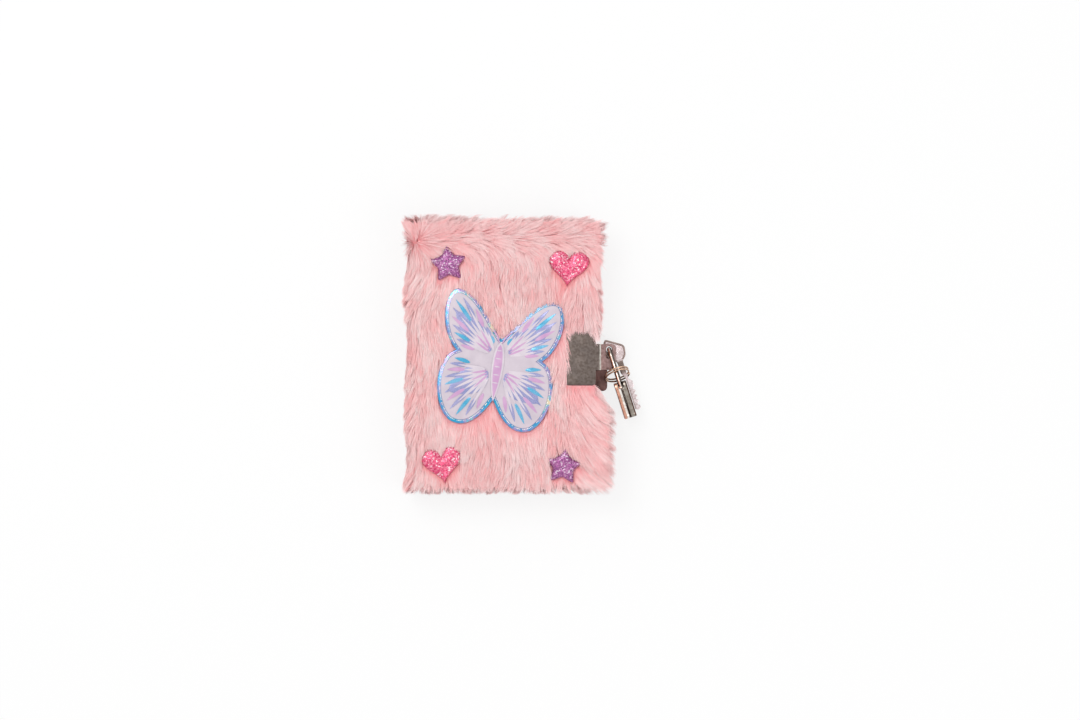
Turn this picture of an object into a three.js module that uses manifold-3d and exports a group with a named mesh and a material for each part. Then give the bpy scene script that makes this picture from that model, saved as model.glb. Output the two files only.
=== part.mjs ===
// Plush journal: a hard-cover journal in faux fur, with appliqués, a sheet metal clip on the
// fore-edge of each cover, and a padlock that hangs on the front clip with its key and ring.
// Millimetres. +X points to the fore-edge, +Y to the head, +Z up. The origin is the middle of the
// face that the journal lies on.

import * as THREE from 'three';
import { mergeVertices } from 'three/addons/utils/BufferGeometryUtils.js';
import Module from 'manifold-3d';

const wasm = await Module();
wasm.setup();

// Clearances
const glueGap = 0.1;
const runningGap = 0.3;
// How far a cutting body reaches past the faces that it cuts.
const past = 1;
// The most that a rounding takes of each side beside its corner.
const cornerShare = 0.49;
// Points of a mesh or an outline that are nearer than this are one point.
const sameSpot = 1e-5;

// Pages
const pageWidth = 90;
const pageHeight = 134;
const sectionPitch = 2.4;
const sectionCount = 6;
const sectionGap = 0.1;
const flyleafThickness = 0.2;
const pageCornerRadius = 2;
const liningThickness = 0.3;
const liningInset = 3;

// Case: boards, spine and fur
const boardThickness = 2;
const boardOverhang = 3;
const pastedownThickness = 0.3;
const pastedownInset = 2;
const plushThickness = 6;
const plushWrap = 4;
const plushRounding = 2.6;
const cornerRadius = 11.7;
const spineCornerRadius = 6.5;
const wrapCornerRadius = 1;
const hingeToPages = 3.5;
const hingeToBoard = 5.7;
const spineBoardGap = 0.4;
const spineWrap = 2.4;
const jointInset = 1.4;
const jointSteps = 5;

// Padded pieces on the front cover
const appliqueSink = 3;
const appliqueThickness = 2.9;
const appliqueRounding = 1.3;
const pocketGap = 0.4;
// The longest corner of a grown outline, in times the distance that its sides move.
const sharpestMitre = 1.6;
const starRadius = 11.2;
const starWaist = 0.54;
const starPoints = 5;
const starTipRounding = 2;
const starWaistRounding = 1.2;
const heartWidth = 22.4;
const heartSteps = 36;
const upperStar = { x: 14.8 - pageWidth / 2, y: pageHeight / 2 - 17, turn: 0.1 };
const lowerStar = { x: pageWidth / 2 - 11.1, y: 4.8 - pageHeight / 2, turn: -0.12 };
const upperHeart = { x: pageWidth / 2 - 8.4, y: pageHeight / 2 - 19.3, turn: -0.08 };
const lowerHeart = { x: 11.6 - pageWidth / 2, y: 5.6 - pageHeight / 2, turn: 0.15 };
const patchCentre = { x: -2.6, y: -6, turn: -0.14 };
const patchSpan = 66.4;
const patchLength = 74;
// Half of a butterfly from head to tail: a start, then the Bezier points of each further curve.
const wingStart = [0, 14];
const wingCurves = [
  [6, 19, 17, 39, 29, 38],
  [38, 36, 36, 13, 25, 5],
  [37, 1, 36, -25, 24, -33],
  [13, -38, 5, -28, 0, -19],
];
const wingSpan = 69.3;
const wingLength = 72.3;
const wingSteps = 9;
const filmThickness = 1.6;
const printThickness = 1.1;
const filmMargin = 2.3;

// Sheet metal clips
const clipSheet = 1;
const plateWidth = 16.2;
const plateHeight = 31.6;
const plateMiddleY = -1.4;
const plateSetback = 1.6;
const plateCorner = 1.5;
const frontPlateSink = 2.2;
const backPlateSink = 1;
const tabWidth = 14.5;
const tabMiddleY = -1.65;
const tabLength = 8.7;
const tabCorner = 2.6;
const bendRadius = 1.2;
const slotFromStrap = 4.9;
const slotFromTabEdge = 2.9;
const slotRadius = 1.75;
const slotRun = 3.4;
const flangeReach = 4;
const flangeDrop = 3.6;
const prongWidth = 3;
const prongThickness = 0.8;
const prongBite = 1.2;
const prongInset = 3.4;

// Padlock
const wireRadius = 1.3;
const legSpacing = 8;
const shackleReach = 19.2;
const caseLength = 20.9;
const caseWidth = 16;
const caseThickness = 7.1;
const caseWall = 1.5;
const caseFace = 0.9;
const caseCorner = 2.4;
const caseRounding = 0.5;
const lockLean = 17.6;
const pivotDepth = 3.5;
const toeDepth = 5;
const eyeRadius = 2;
const rivetRadius = 0.75;
const notchDepth = 0.9;
const boltWidth = 1.4;
const boltTravel = 0.8;
const boltLength = 9.7;
const boltInset = 1.2;
const plugRadius = 2.2;
const plugLength = 7;
const plugSlot = 1;

// Key and split ring
const keyThickness = 1.2;
const keyGap = 0.5;
const keyShaft = 3.2;
const keyLength = 37.4;
// Corners [along, across, rounding] of the key's bow, on its two sides of the neck.
const bowOutside = [[-3.9, -2.2, 1], [-6, -0.6, 1.6], [0.2, 9, 2], [6, 8.1, 2], [8.5, 5.4, 0.6]];
const bowInside = [[8.3, 2.2, 1.5], [4.2, -2.4, 1.5], [0.3, -3, 1]];
const bowHole = { end: 3.4, across: 0.2 };
const neckOuter = 5.4;
const shoulder = 0.4;
const teethStart = 23.8;
const toothPitch = 3;
const toothCount = 4;
const toothDepth = 1;
// Where a tooth's gap slopes down, is flat and slopes up again, from the gap's start.
const toothSteps = [0.8, 1.5, 2.1];
const keyTip = 1;
const ringRadius = 6.75;
const ringWire = 0.5;
const ringPitch = 1.45;
const ringTurns = 2;
const ringPlace = 14.8;
const ringTilt = 23;

// Sides and steps of the round bodies
const roundSides = 20;
const wireSides = 12;
const wireSteps = 44;
const ringSides = 6;
const ringSteps = 56;

// Places that follow from the sizes
const halfHeight = pageHeight / 2 + boardOverhang + plushWrap;
const boardWidth = hingeToPages + runningGap / 2 + pageWidth + boardOverhang - hingeToBoard;
const coverWidth = plushThickness + hingeToBoard + boardWidth + plushWrap;
const foreEdge = coverWidth / 2;
const hingeX = -foreEdge + plushThickness;
const boardStart = hingeX + hingeToBoard;
const boardEnd = boardStart + boardWidth;
const boardHalf = pageHeight / 2 + boardOverhang;
const pagesStart = hingeX + hingeToPages + runningGap / 2;
const pagesEnd = pagesStart + pageWidth;
const caseDepth = plushThickness + glueGap + boardThickness + glueGap + pastedownThickness;
const blockBottom = caseDepth + runningGap;
const firstSection = blockBottom + flyleafThickness + sectionGap;
const blockTop = firstSection + sectionCount * sectionPitch + flyleafThickness;
const height = blockTop + runningGap + caseDepth;
const backHingeZ = plushThickness;
const frontHingeZ = height - plushThickness;
const strapInner = foreEdge + runningGap;
const strapOuter = strapInner + clipSheet;
const lockLevel = runningGap + caseWidth / 2;
const tabTop = tabMiddleY + tabWidth / 2;
const slotCentre = { x: strapOuter + slotFromStrap, y: tabTop - slotFromTabEdge };
const legOffset = legSpacing / 2;
const pivotU = shackleReach + pivotDepth;
const toeEnd = shackleReach + toeDepth;
const caseEnd = shackleReach + caseLength;

// Solids and their joins and cuts

// The surface with its shared corners merged, and nothing but positions left.
function welded(geometry) {
  const bare = geometry.clone();
  bare.deleteAttribute('normal');
  bare.deleteAttribute('uv');
  return mergeVertices(bare, sameSpot);
}

function solidOf(geometry) {
  const merged = welded(geometry);
  return new wasm.Manifold(new wasm.Mesh({
    numProp: 3,
    vertProperties: new Float32Array(merged.attributes.position.array),
    triVerts: new Uint32Array(merged.index.array),
  }));
}

function geometryOf(solid) {
  const mesh = solid.getMesh();
  const geometry = new THREE.BufferGeometry();
  geometry.setAttribute('position', new THREE.BufferAttribute(mesh.vertProperties, 3));
  geometry.setIndex(new THREE.BufferAttribute(mesh.triVerts, 1));
  geometry.computeVertexNormals();
  return geometry;
}

function combine(operation, first, others) {
  let solid = solidOf(first);
  for (const other of others) {
    solid = solid[operation](solidOf(other));
  }
  return geometryOf(solid);
}

const cut = (first, ...others) => combine('subtract', first, others);
const join = (first, ...others) => combine('add', first, others);
const keepInside = (first, ...others) => combine('intersect', first, others);

function box(x0, x1, y0, y1, z0, z1) {
  const geometry = new THREE.BoxGeometry(x1 - x0, y1 - y0, z1 - z0);
  return geometry.translate((x0 + x1) / 2, (y0 + y1) / 2, (z0 + z1) / 2);
}

// A flat shape raised from z0 to z1, with its edges rounded by bevel inside the outline.
function slab(shape, z0, z1, bevel = 0, curveSegments = 6) {
  const geometry = new THREE.ExtrudeGeometry(shape, {
    depth: z1 - z0 - 2 * bevel,
    bevelEnabled: bevel > 0,
    bevelThickness: bevel,
    bevelSize: bevel,
    bevelOffset: -bevel,
    bevelSegments: 3,
    curveSegments,
  });
  return geometry.translate(0, 0, z0 + bevel);
}

// A crowned pad: an outline raised from z0 to z1 whose rings draw in towards its centre at the
// bottom edge and, in a quarter round, at the top.
function crowned(points, centre, z0, z1, rounding) {
  const middle = new THREE.Vector2(centre.x, centre.y);
  const meanRadius = points.reduce((sum, p) => sum + p.distanceTo(middle), 0) / points.length;
  const profile = [[rounding / 2, z0], [0, z0 + rounding / 2], [0, z1 - rounding]];
  const topSteps = 3;
  for (let k = 1; k <= topSteps; k += 1) {
    const angle = k / topSteps * Math.PI / 2;
    profile.push([
      rounding * (1 - Math.cos(angle)), z1 - rounding + rounding * Math.sin(angle),
    ]);
  }
  const places = [];
  for (const [inset, z] of profile) {
    for (const p of points) {
      const drawn = p.clone().sub(middle).multiplyScalar(1 - inset / meanRadius).add(middle);
      places.push(drawn.x, drawn.y, z);
    }
  }
  const count = points.length;
  const faces = [];
  const top = (profile.length - 1) * count;
  for (const [a, b, c] of THREE.ShapeUtils.triangulateShape(points, [])) {
    faces.push(top + a, top + b, top + c, c, b, a);
  }
  for (let ring = 0; ring < profile.length - 1; ring += 1) {
    for (let i = 0; i < count; i += 1) {
      const a = ring * count + i;
      const b = ring * count + (i + 1) % count;
      faces.push(a, b, b + count, a, b + count, a + count);
    }
  }
  const geometry = new THREE.BufferGeometry();
  geometry.setAttribute('position', new THREE.Float32BufferAttribute(places, 3));
  geometry.setIndex(faces);
  geometry.computeVertexNormals();
  return geometry;
}

// A shape drawn in X and Z, raised along Y from y0 to y1.
function sideSlab(shape, y0, y1, bevel = 0, curveSegments = 6) {
  return slab(shape, -y1, -y0, bevel, curveSegments).rotateX(Math.PI / 2);
}

// A closed outline through corner points [x, y, radius], with round corners.
function outline(corners) {
  const shape = new THREE.Shape();
  corners.forEach(([x, y, radius], i) => {
    const [beforeX, beforeY] = corners[(i + corners.length - 1) % corners.length];
    const [afterX, afterY] = corners[(i + 1) % corners.length];
    const corner = new THREE.Vector2(x, y);
    const back = new THREE.Vector2(beforeX - x, beforeY - y);
    const on = new THREE.Vector2(afterX - x, afterY - y);
    const reach = Math.min(radius || 0, back.length() * cornerShare, on.length() * cornerShare);
    const enter = corner.clone().addScaledVector(back.normalize(), reach);
    const leave = corner.clone().addScaledVector(on.normalize(), reach);
    if (i === 0) shape.moveTo(enter.x, enter.y);
    else shape.lineTo(enter.x, enter.y);
    if (reach > 0) shape.quadraticCurveTo(x, y, leave.x, leave.y);
  });
  shape.closePath();
  return shape;
}

const rectangle = (x0, x1, y0, y1, radius = 0) => outline([
  [x0, y0, radius], [x1, y0, radius], [x1, y1, radius], [x0, y1, radius],
]);

// Points of a closed outline moved outwards by distance, or inwards where it is negative.
function grown(points, distance) {
  const count = points.length;
  return points.map((point, i) => {
    const before = points[(i + count - 1) % count];
    const after = points[(i + 1) % count];
    const enter = point.clone().sub(before).normalize();
    const leave = after.clone().sub(point).normalize();
    const normal = new THREE.Vector2(enter.y + leave.y, -enter.x - leave.x).normalize();
    const mitre = Math.min(Math.sqrt(2 / (1 + enter.dot(leave))), sharpestMitre);
    return point.clone().addScaledVector(normal, distance * mitre);
  });
}

function placedPoints(points, place) {
  const origin = new THREE.Vector2(0, 0);
  return points.map((p) => p.clone().rotateAround(origin, place.turn)
    .add(new THREE.Vector2(place.x, place.y)));
}

// Outlines of the padded pieces, anticlockwise round their own centres

function starOutline() {
  const corners = [];
  for (let i = 0; i < starPoints * 2; i += 1) {
    const angle = Math.PI / 2 + i * Math.PI / starPoints;
    const isTip = i % 2 === 0;
    const radius = isTip ? starRadius : starRadius * starWaist;
    corners.push([
      radius * Math.cos(angle), radius * Math.sin(angle),
      isTip ? starTipRounding : starWaistRounding,
    ]);
  }
  return openPoints(outline(corners), 3);
}

// The well-known curve of a heart in sines and cosines, which is 32 units wide.
function heartOutline(width) {
  const scale = width / 32;
  const points = [];
  for (let i = 0; i < heartSteps; i += 1) {
    const t = Math.PI - (i + 0.5) / heartSteps * 2 * Math.PI;
    const lobeX = 16 * Math.sin(t) ** 3;
    const lobeY = 13 * Math.cos(t) - 5 * Math.cos(2 * t) - 2 * Math.cos(3 * t) - Math.cos(4 * t);
    points.push(new THREE.Vector2(scale * lobeX, scale * (lobeY + 2)));
  }
  return points;
}

function butterflyOutline() {
  const half = new THREE.Path();
  half.moveTo(...wingStart);
  wingCurves.forEach((curve) => half.bezierCurveTo(...curve));
  const scale = new THREE.Vector2(patchSpan / wingSpan, patchLength / wingLength);
  const right = half.getPoints(wingSteps).map((p) => p.multiply(scale));
  const left = right.slice(1, -1).reverse().map((p) => new THREE.Vector2(-p.x, p.y));
  return right.concat(left).reverse();
}

// Points of an outline without its closing point and without doubled ones.
function openPoints(shape, divisions) {
  const points = shape.getPoints(divisions);
  if (points.at(-1).distanceTo(points[0]) < sameSpot) points.pop();
  return points.filter((p, i) => i === 0 || p.distanceTo(points[i - 1]) > sameSpot);
}

// Outline and centre of a padded piece, and the outline of its room in the fur.
function paddedStar(centre) {
  const points = placedPoints(starOutline(), centre);
  return { points, centre, room: grown(points, pocketGap) };
}

function paddedHeart(centre) {
  return {
    points: placedPoints(heartOutline(heartWidth), centre),
    centre,
    room: placedPoints(heartOutline(heartWidth + 2 * pocketGap), centre),
  };
}

const padded = {
  star_upper: paddedStar(upperStar),
  star_lower: paddedStar(lowerStar),
  heart_upper: paddedHeart(upperHeart),
  heart_lower: paddedHeart(lowerHeart),
};
const patchOutline = placedPoints(butterflyOutline(), patchCentre);

// Materials

const surface = (color, roughness, metalness = 0) => new THREE.MeshStandardMaterial({
  color, roughness, metalness,
});
const fur = surface(0xf3bdbd, 1);
const board = surface(0xb9ab97, 0.9);
const paper = surface(0xfbf7ef, 0.85);
const endpaper = surface(0xf7d3dc, 0.8);
const cloth = surface(0xf2eee6, 0.95);
const clipMetal = surface(0x76706a, 0.45, 0.9);
const nickel = surface(0xc9c5c2, 0.25, 1);
const purpleGlitter = surface(0xaa5aaa, 0.35, 0.3);
const pinkGlitter = surface(0xeb5582, 0.35, 0.3);
const film = surface(0x6fb7dd, 0.2, 0.6);
const print = surface(0xf1e6f5, 0.4);

const journal = new THREE.Group();

function add(name, geometry, material, parent = journal) {
  const mesh = new THREE.Mesh(geometry, material);
  mesh.name = name;
  parent.add(mesh);
}

// Mirrors a solid of the back cover to the front cover, about the middle of the journal's height.
function mirroredToFront(geometry) {
  const mirrored = welded(geometry);
  mirrored.scale(1, 1, -1).translate(0, 0, height);
  mirrored.setIndex([...mirrored.index.array].reverse());
  mirrored.computeVertexNormals();
  return mirrored;
}

// Covers

// A cover's fur: a slab below the board, turned up round its three free edges. Between the hinge
// and the board it stays low, so that the spine can fold.
function coverPlush() {
  const wide = rectangle(
    hingeX - 2 * cornerRadius, foreEdge, -halfHeight, halfHeight, cornerRadius,
  );
  const right = box(
    hingeX + runningGap / 2, foreEdge + past,
    -halfHeight - past, halfHeight + past, -past, caseDepth + past,
  );
  const boardRoom = box(
    hingeX, boardEnd + glueGap,
    -boardHalf - glueGap, boardHalf + glueGap, plushThickness, caseDepth + past,
  );
  const gutter = box(
    hingeX, boardStart - glueGap,
    -halfHeight - past, halfHeight + past, plushThickness, caseDepth + past,
  );
  return cut(keepInside(slab(wide, 0, caseDepth, plushRounding), right), boardRoom, gutter);
}

const boardBottom = plushThickness + glueGap;
const boardTop = boardBottom + boardThickness;

function coverBoard() {
  return box(boardStart, boardEnd, -boardHalf, boardHalf, boardBottom, boardTop);
}

function pastedown() {
  return box(
    boardStart, boardEnd - pastedownInset,
    -boardHalf + pastedownInset, boardHalf - pastedownInset,
    boardTop + glueGap, caseDepth,
  );
}

// Fur of a hinge corner: a quarter round about the hinge's axis.
function cornerPlush() {
  const quarter = new THREE.Shape();
  const edge = Math.asin(runningGap / plushThickness);
  quarter.moveTo(-runningGap, -runningGap);
  quarter.absarc(0, 0, plushThickness, Math.PI + edge, 1.5 * Math.PI - edge, false);
  quarter.closePath();
  return sideSlab(quarter, jointInset - halfHeight, halfHeight - jointInset, 0, jointSteps)
    .translate(hingeX, 0, backHingeZ);
}

// Clips

const plateEnd = foreEdge - plateSetback;
const plateStart = plateEnd - plateWidth;
const plateLow = plateMiddleY - plateHeight / 2;
const plateHigh = plateMiddleY + plateHeight / 2;
const prongPlaces = [
  [plateStart + prongInset, plateHigh - prongInset],
  [plateStart + prongInset, plateLow + prongInset],
  [plateEnd - 2 * prongInset, plateHigh - prongInset],
  [plateEnd - 2 * prongInset, plateLow + prongInset],
];

// Prongs of the plate that start at z0 and bite into the board at z1, or the holes for them.
const prongs = (z0, z1, extra = 0) => prongPlaces.map(([x, y]) => box(
  x - prongThickness / 2 - extra, x + prongThickness / 2 + extra,
  y - prongWidth / 2 - extra, y + prongWidth / 2 + extra, z0, z1,
));

// Outline of a strip of sheet that follows a centre line.
function stripShape(line, thickness) {
  const sides = [1, -1].map((side) => line.map((point, i) => {
    const before = line[Math.max(i - 1, 0)];
    const after = line[Math.min(i + 1, line.length - 1)];
    const along = after.clone().sub(before).normalize();
    return new THREE.Vector2(
      point.x - along.y * side * thickness / 2, point.y + along.x * side * thickness / 2,
    );
  }));
  return new THREE.Shape(sides[0].reverse().concat(sides[1]));
}

const frontPlateTop = height - frontPlateSink;
const frontPlateBottom = frontPlateTop - clipSheet;
const frontBite = height - boardBottom - prongBite;

// The strap leaves the plate level, turns down over the fore-edge and turns out again as the tab.
function strapLine() {
  const path = new THREE.Path();
  const strapX = strapInner + clipSheet / 2;
  const plateZ = frontPlateTop - clipSheet / 2;
  path.moveTo(plateStart - clipSheet, plateZ);
  path.lineTo(strapX - bendRadius, plateZ);
  path.absarc(strapX - bendRadius, plateZ - bendRadius, bendRadius, Math.PI / 2, 0, true);
  path.lineTo(strapX, lockLevel + bendRadius);
  path.absarc(strapX + bendRadius, lockLevel + bendRadius, bendRadius, Math.PI, 1.5 * Math.PI, false);
  path.lineTo(strapOuter + tabLength, lockLevel);
  return openPoints(path, 3);
}

function tabSlot(z0, z1) {
  const { x, y } = slotCentre;
  const slot = outline([
    [x - slotRadius, y - slotRun - slotRadius, slotRadius],
    [x + slotRadius, y - slotRun - slotRadius, slotRadius],
    [x + slotRadius, y + slotRadius, slotRadius],
    [x - slotRadius, y + slotRadius, slotRadius],
  ]);
  return slab(slot, z0, z1);
}

const tabLow = tabMiddleY - tabWidth / 2;
const tabEnd = strapOuter + tabLength;

// The sheet is bent from one blank: the plate, and a tongue that becomes the strap and the tab.
function frontClip() {
  const sheet = sideSlab(stripShape(strapLine(), clipSheet), plateLow - past, plateHigh + past);
  const blank = slab(outline([
    [plateStart, plateLow, plateCorner], [plateEnd, plateLow, plateCorner],
    [plateEnd, tabLow], [tabEnd, tabLow, tabCorner], [tabEnd, tabTop, tabCorner],
    [plateEnd, tabTop], [plateEnd, plateHigh, plateCorner], [plateStart, plateHigh, plateCorner],
  ]), 0, height);
  return cut(
    join(keepInside(sheet, blank), ...prongs(frontBite, frontPlateBottom + clipSheet / 2)),
    tabSlot(lockLevel - 2 * clipSheet, lockLevel + 2 * clipSheet),
  );
}

// The back clip is flat: a plate under the cover, a flange along the fore-edge, and a tab.
const backPlateTop = backPlateSink + clipSheet;
const flangeEnd = strapOuter + flangeReach;
const flangeLow = plateLow - flangeDrop;
const flangeStart = plateEnd - 2 * clipSheet;

const backClipOutline = outline([
  [plateStart, plateLow, plateCorner], [flangeStart, plateLow],
  [flangeStart, flangeLow, clipSheet], [flangeEnd, flangeLow, 3 * clipSheet],
  [flangeEnd, tabLow], [tabEnd, tabLow, tabCorner], [tabEnd, tabTop, tabCorner],
  [plateEnd, tabTop], [plateEnd, plateHigh, plateCorner], [plateStart, plateHigh, plateCorner],
]);

function backClip() {
  const { x, y } = slotCentre;
  const hole = new THREE.CylinderGeometry(slotRadius, slotRadius, 4 * clipSheet, roundSides)
    .rotateX(Math.PI / 2).translate(x, y, backPlateSink);
  return cut(
    join(
      slab(backClipOutline, backPlateSink, backPlateTop),
      ...prongs(backPlateTop - clipSheet / 2, boardBottom + prongBite),
    ),
    hole,
  );
}

const backClipRoom = [
  slab(
    new THREE.Shape(grown(openPoints(backClipOutline, 3), runningGap)),
    -past, backPlateTop + runningGap,
  ),
  ...prongs(0, boardBottom + prongBite + runningGap, runningGap),
];

const frontClipRoom = [
  slab(rectangle(
    plateStart - runningGap, plateEnd + runningGap,
    plateLow - runningGap, plateHigh + runningGap, plateCorner,
  ), frontPlateBottom - runningGap, height + past),
  box(
    plateEnd - clipSheet, foreEdge + past, tabLow - runningGap, tabTop + runningGap,
    frontPlateBottom - runningGap, height + past,
  ),
  ...prongs(frontBite - runningGap, height, runningGap),
];

// Back cover
add('back_plush', cut(coverPlush(), ...backClipRoom), fur);
add('back_board', cut(coverBoard(), ...backClipRoom), board);
add('back_pastedown', pastedown(), endpaper);
add('back_clip', backClip(), clipMetal);
add('back_joint_plush', cornerPlush(), fur);

// Spine
function spinePlush() {
  const outerX = hingeX - plushThickness;
  const wrapX = hingeX + spineWrap;
  const shape = outline([
    [outerX, -halfHeight, spineCornerRadius], [wrapX, -halfHeight, wrapCornerRadius],
    [wrapX, -boardHalf - glueGap], [hingeX, -boardHalf - glueGap],
    [hingeX, boardHalf + glueGap], [wrapX, boardHalf + glueGap],
    [wrapX, halfHeight, wrapCornerRadius], [outerX, halfHeight, spineCornerRadius],
  ]);
  return slab(shape, backHingeZ + runningGap / 2, frontHingeZ - runningGap / 2);
}

add('spine_plush', spinePlush(), fur);
add('spine_board', box(
  hingeX + glueGap, hingeX + glueGap + boardThickness, -boardHalf, boardHalf,
  backHingeZ + spineBoardGap, frontHingeZ - spineBoardGap,
), board);

// Front cover
const appliqueBottom = height - appliqueSink;
const appliqueTop = appliqueBottom + appliqueThickness;
const rooms = [...Object.values(padded).map(({ room }) => room), grown(patchOutline, pocketGap)];
const pockets = rooms.map((room) => slab(
  new THREE.Shape(room), appliqueBottom - glueGap, height + past,
));

add('front_plush', cut(mirroredToFront(coverPlush()), ...frontClipRoom, ...pockets), fur);
add('front_board', cut(mirroredToFront(coverBoard()), ...frontClipRoom), board);
add('front_pastedown', mirroredToFront(pastedown()), endpaper);
add('front_clip', frontClip(), clipMetal);
add('front_joint_plush', mirroredToFront(cornerPlush()), fur);

for (const [name, { points, centre }] of Object.entries(padded)) {
  const glitter = name.startsWith('star') ? purpleGlitter : pinkGlitter;
  add(name, crowned(points, centre, appliqueBottom, appliqueTop, appliqueRounding), glitter);
}

const filmTop = appliqueBottom + filmThickness;
add('patch_film', slab(new THREE.Shape(patchOutline), appliqueBottom, filmTop), film);
add('patch_print', slab(
  new THREE.Shape(grown(patchOutline, -filmMargin)),
  filmTop + glueGap, filmTop + glueGap + printThickness,
), print);

// Page block, section 1 on top
const leaf = (z0, z1) => slab(outline([
  [pagesStart, -pageHeight / 2], [pagesEnd, -pageHeight / 2, pageCornerRadius],
  [pagesEnd, pageHeight / 2, pageCornerRadius], [pagesStart, pageHeight / 2],
]), z0, z1, 0, 3);

for (let i = 1; i <= sectionCount; i += 1) {
  const bottom = firstSection + (sectionCount - i) * sectionPitch;
  add(`section_${i}`, leaf(bottom, bottom + sectionPitch - sectionGap), paper);
}
add('rear_flyleaf', leaf(blockBottom, blockBottom + flyleafThickness), endpaper);
add('front_flyleaf', leaf(blockTop - flyleafThickness, blockTop), endpaper);
add('spine_lining', box(
  pagesStart - runningGap - liningThickness, pagesStart - runningGap,
  -pageHeight / 2 + liningInset, pageHeight / 2 - liningInset, blockBottom, blockTop,
), cloth);

// Padlock, in a frame of its own: X along the shackle from its crown to the case, Y to the side of
// the key, Z up. The crown of the shackle's wire stands in the slot of the front tab.
const padlock = new THREE.Group();
padlock.position.set(slotCentre.x, slotCentre.y, lockLevel);
padlock.rotation.z = THREE.MathUtils.degToRad(lockLean - 90);
journal.add(padlock);

// Centre line of the shackle: heel leg above, a half round crown, toe leg below.
class Hairpin extends THREE.Curve {
  getPoint(t, target = new THREE.Vector3()) {
    const heel = pivotU - legOffset;
    const crown = Math.PI * legOffset;
    const length = heel + crown + toeEnd - legOffset;
    const s = t * length;
    if (s < heel) return target.set(pivotU - s, 0, legOffset);
    if (s > heel + crown) return target.set(legOffset + s - heel - crown, 0, -legOffset);
    const angle = Math.PI / 2 + (s - heel) / legOffset;
    return target.set(legOffset + legOffset * Math.cos(angle), 0, legOffset * Math.sin(angle));
  }
}

class Helix extends THREE.Curve {
  getPoint(t, target = new THREE.Vector3()) {
    const angle = 2 * Math.PI * ringTurns * t;
    return target.set(
      (t - 0.5) * ringTurns * ringPitch, ringRadius * Math.cos(angle), ringRadius * Math.sin(angle),
    );
  }
}

function tube(curve, radius, steps, sides) {
  const section = new THREE.Shape().absarc(0, 0, radius, 0, 2 * Math.PI);
  return new THREE.ExtrudeGeometry(section, {
    extrudePath: curve, steps, bevelEnabled: false, curveSegments: sides / 2,
  });
}

const rod = (radius, y0, y1, u, v) => new THREE.CylinderGeometry(
  radius, radius, y1 - y0, roundSides,
).translate(u, (y0 + y1) / 2, v);

// A rod along the padlock, with its middle at u.
const lyingRod = (radius, length, u) => new THREE.CylinderGeometry(
  radius, radius, length, roundSides,
).rotateZ(Math.PI / 2).translate(u, 0, 0);

const boltStart = shackleReach + caseWall + boltInset;
const toeInner = -legOffset + wireRadius;

function shackle() {
  const eye = rod(eyeRadius, -wireRadius, wireRadius, pivotU, legOffset);
  const eyeHole = rod(rivetRadius + runningGap / 2, -caseWidth, caseWidth, pivotU, legOffset);
  const toeNotch = box(
    boltStart - runningGap, boltStart + boltWidth + runningGap,
    -2 * wireRadius, 2 * wireRadius, toeInner - notchDepth, toeInner + past,
  );
  const wire = tube(new Hairpin(), wireRadius, wireSteps, wireSides);
  return cut(join(wire, eye), eyeHole, toeNotch);
}

// The case: two pressed halves with a hollow for the works, open for the legs and the plug.
const cavityY = caseThickness / 2 - caseFace;
const legRoom = wireRadius + runningGap;
const plugStart = caseEnd - plugLength - runningGap / 2;

function lockCase() {
  const half = caseWidth / 2;
  const body = sideSlab(
    rectangle(shackleReach, caseEnd, -half, half, caseCorner),
    -caseThickness / 2, caseThickness / 2, caseRounding, 4,
  );
  return cut(
    body,
    box(
      shackleReach + caseWall, caseEnd - caseWall,
      -cavityY, cavityY, -half + caseWall, half - caseWall,
    ),
    box(shackleReach - past, pivotU, -legRoom, legRoom, legOffset - legRoom, half + past),
    box(
      shackleReach - past, shackleReach + caseWall + runningGap, -legRoom, legRoom,
      -legOffset - legRoom, -legOffset + 2 * wireRadius,
    ),
    rod(rivetRadius + runningGap, -caseWidth, caseWidth, pivotU, legOffset),
    lyingRod(plugRadius + runningGap, 4 * caseWall, caseEnd),
  );
}

const caseSide = (y0, y1) => keepInside(
  lockCase(), box(shackleReach - past, caseEnd + past, y0, y1, -caseWidth, caseWidth),
);

function lockBolt() {
  const width = cavityY - runningGap;
  const tip = toeInner + runningGap;
  const waist = legOffset - eyeRadius - 2 * runningGap;
  return join(
    box(boltStart, boltStart + boltLength, -width, width, tip + boltTravel + runningGap, waist),
    box(boltStart, boltStart + boltWidth, -width, width, tip, waist),
  );
}

function lockPlug() {
  const end = plugStart + plugLength;
  return cut(lyingRod(plugRadius, plugLength, end - plugLength / 2), box(
    end - plugLength / 2, end + past, -plugSlot / 2, plugSlot / 2, -keyShaft / 2, keyShaft / 2,
  ));
}

add('shackle', shackle(), nickel, padlock);
add('lock_case_left', caseSide(-caseThickness, -runningGap / 2), nickel, padlock);
add('lock_case_right', caseSide(runningGap / 2, caseThickness), nickel, padlock);
add('lock_rivet', rod(
  rivetRadius, -caseThickness / 2, caseThickness / 2, pivotU, legOffset,
), nickel, padlock);
add('lock_bolt', lockBolt(), nickel, padlock);
add('lock_plug', lockPlug(), nickel, padlock);

// Key: a flat stamping that hangs on the wire below the tab, its blade beside the case.
const keyTop = -clipSheet / 2 - keyGap;
const bladeInner = caseThickness / 2 + pocketGap;
const bladeOuter = bladeInner + keyShaft;
const neckInner = neckOuter - keyShaft;
const bladeStart = shackleReach + shoulder;

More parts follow.
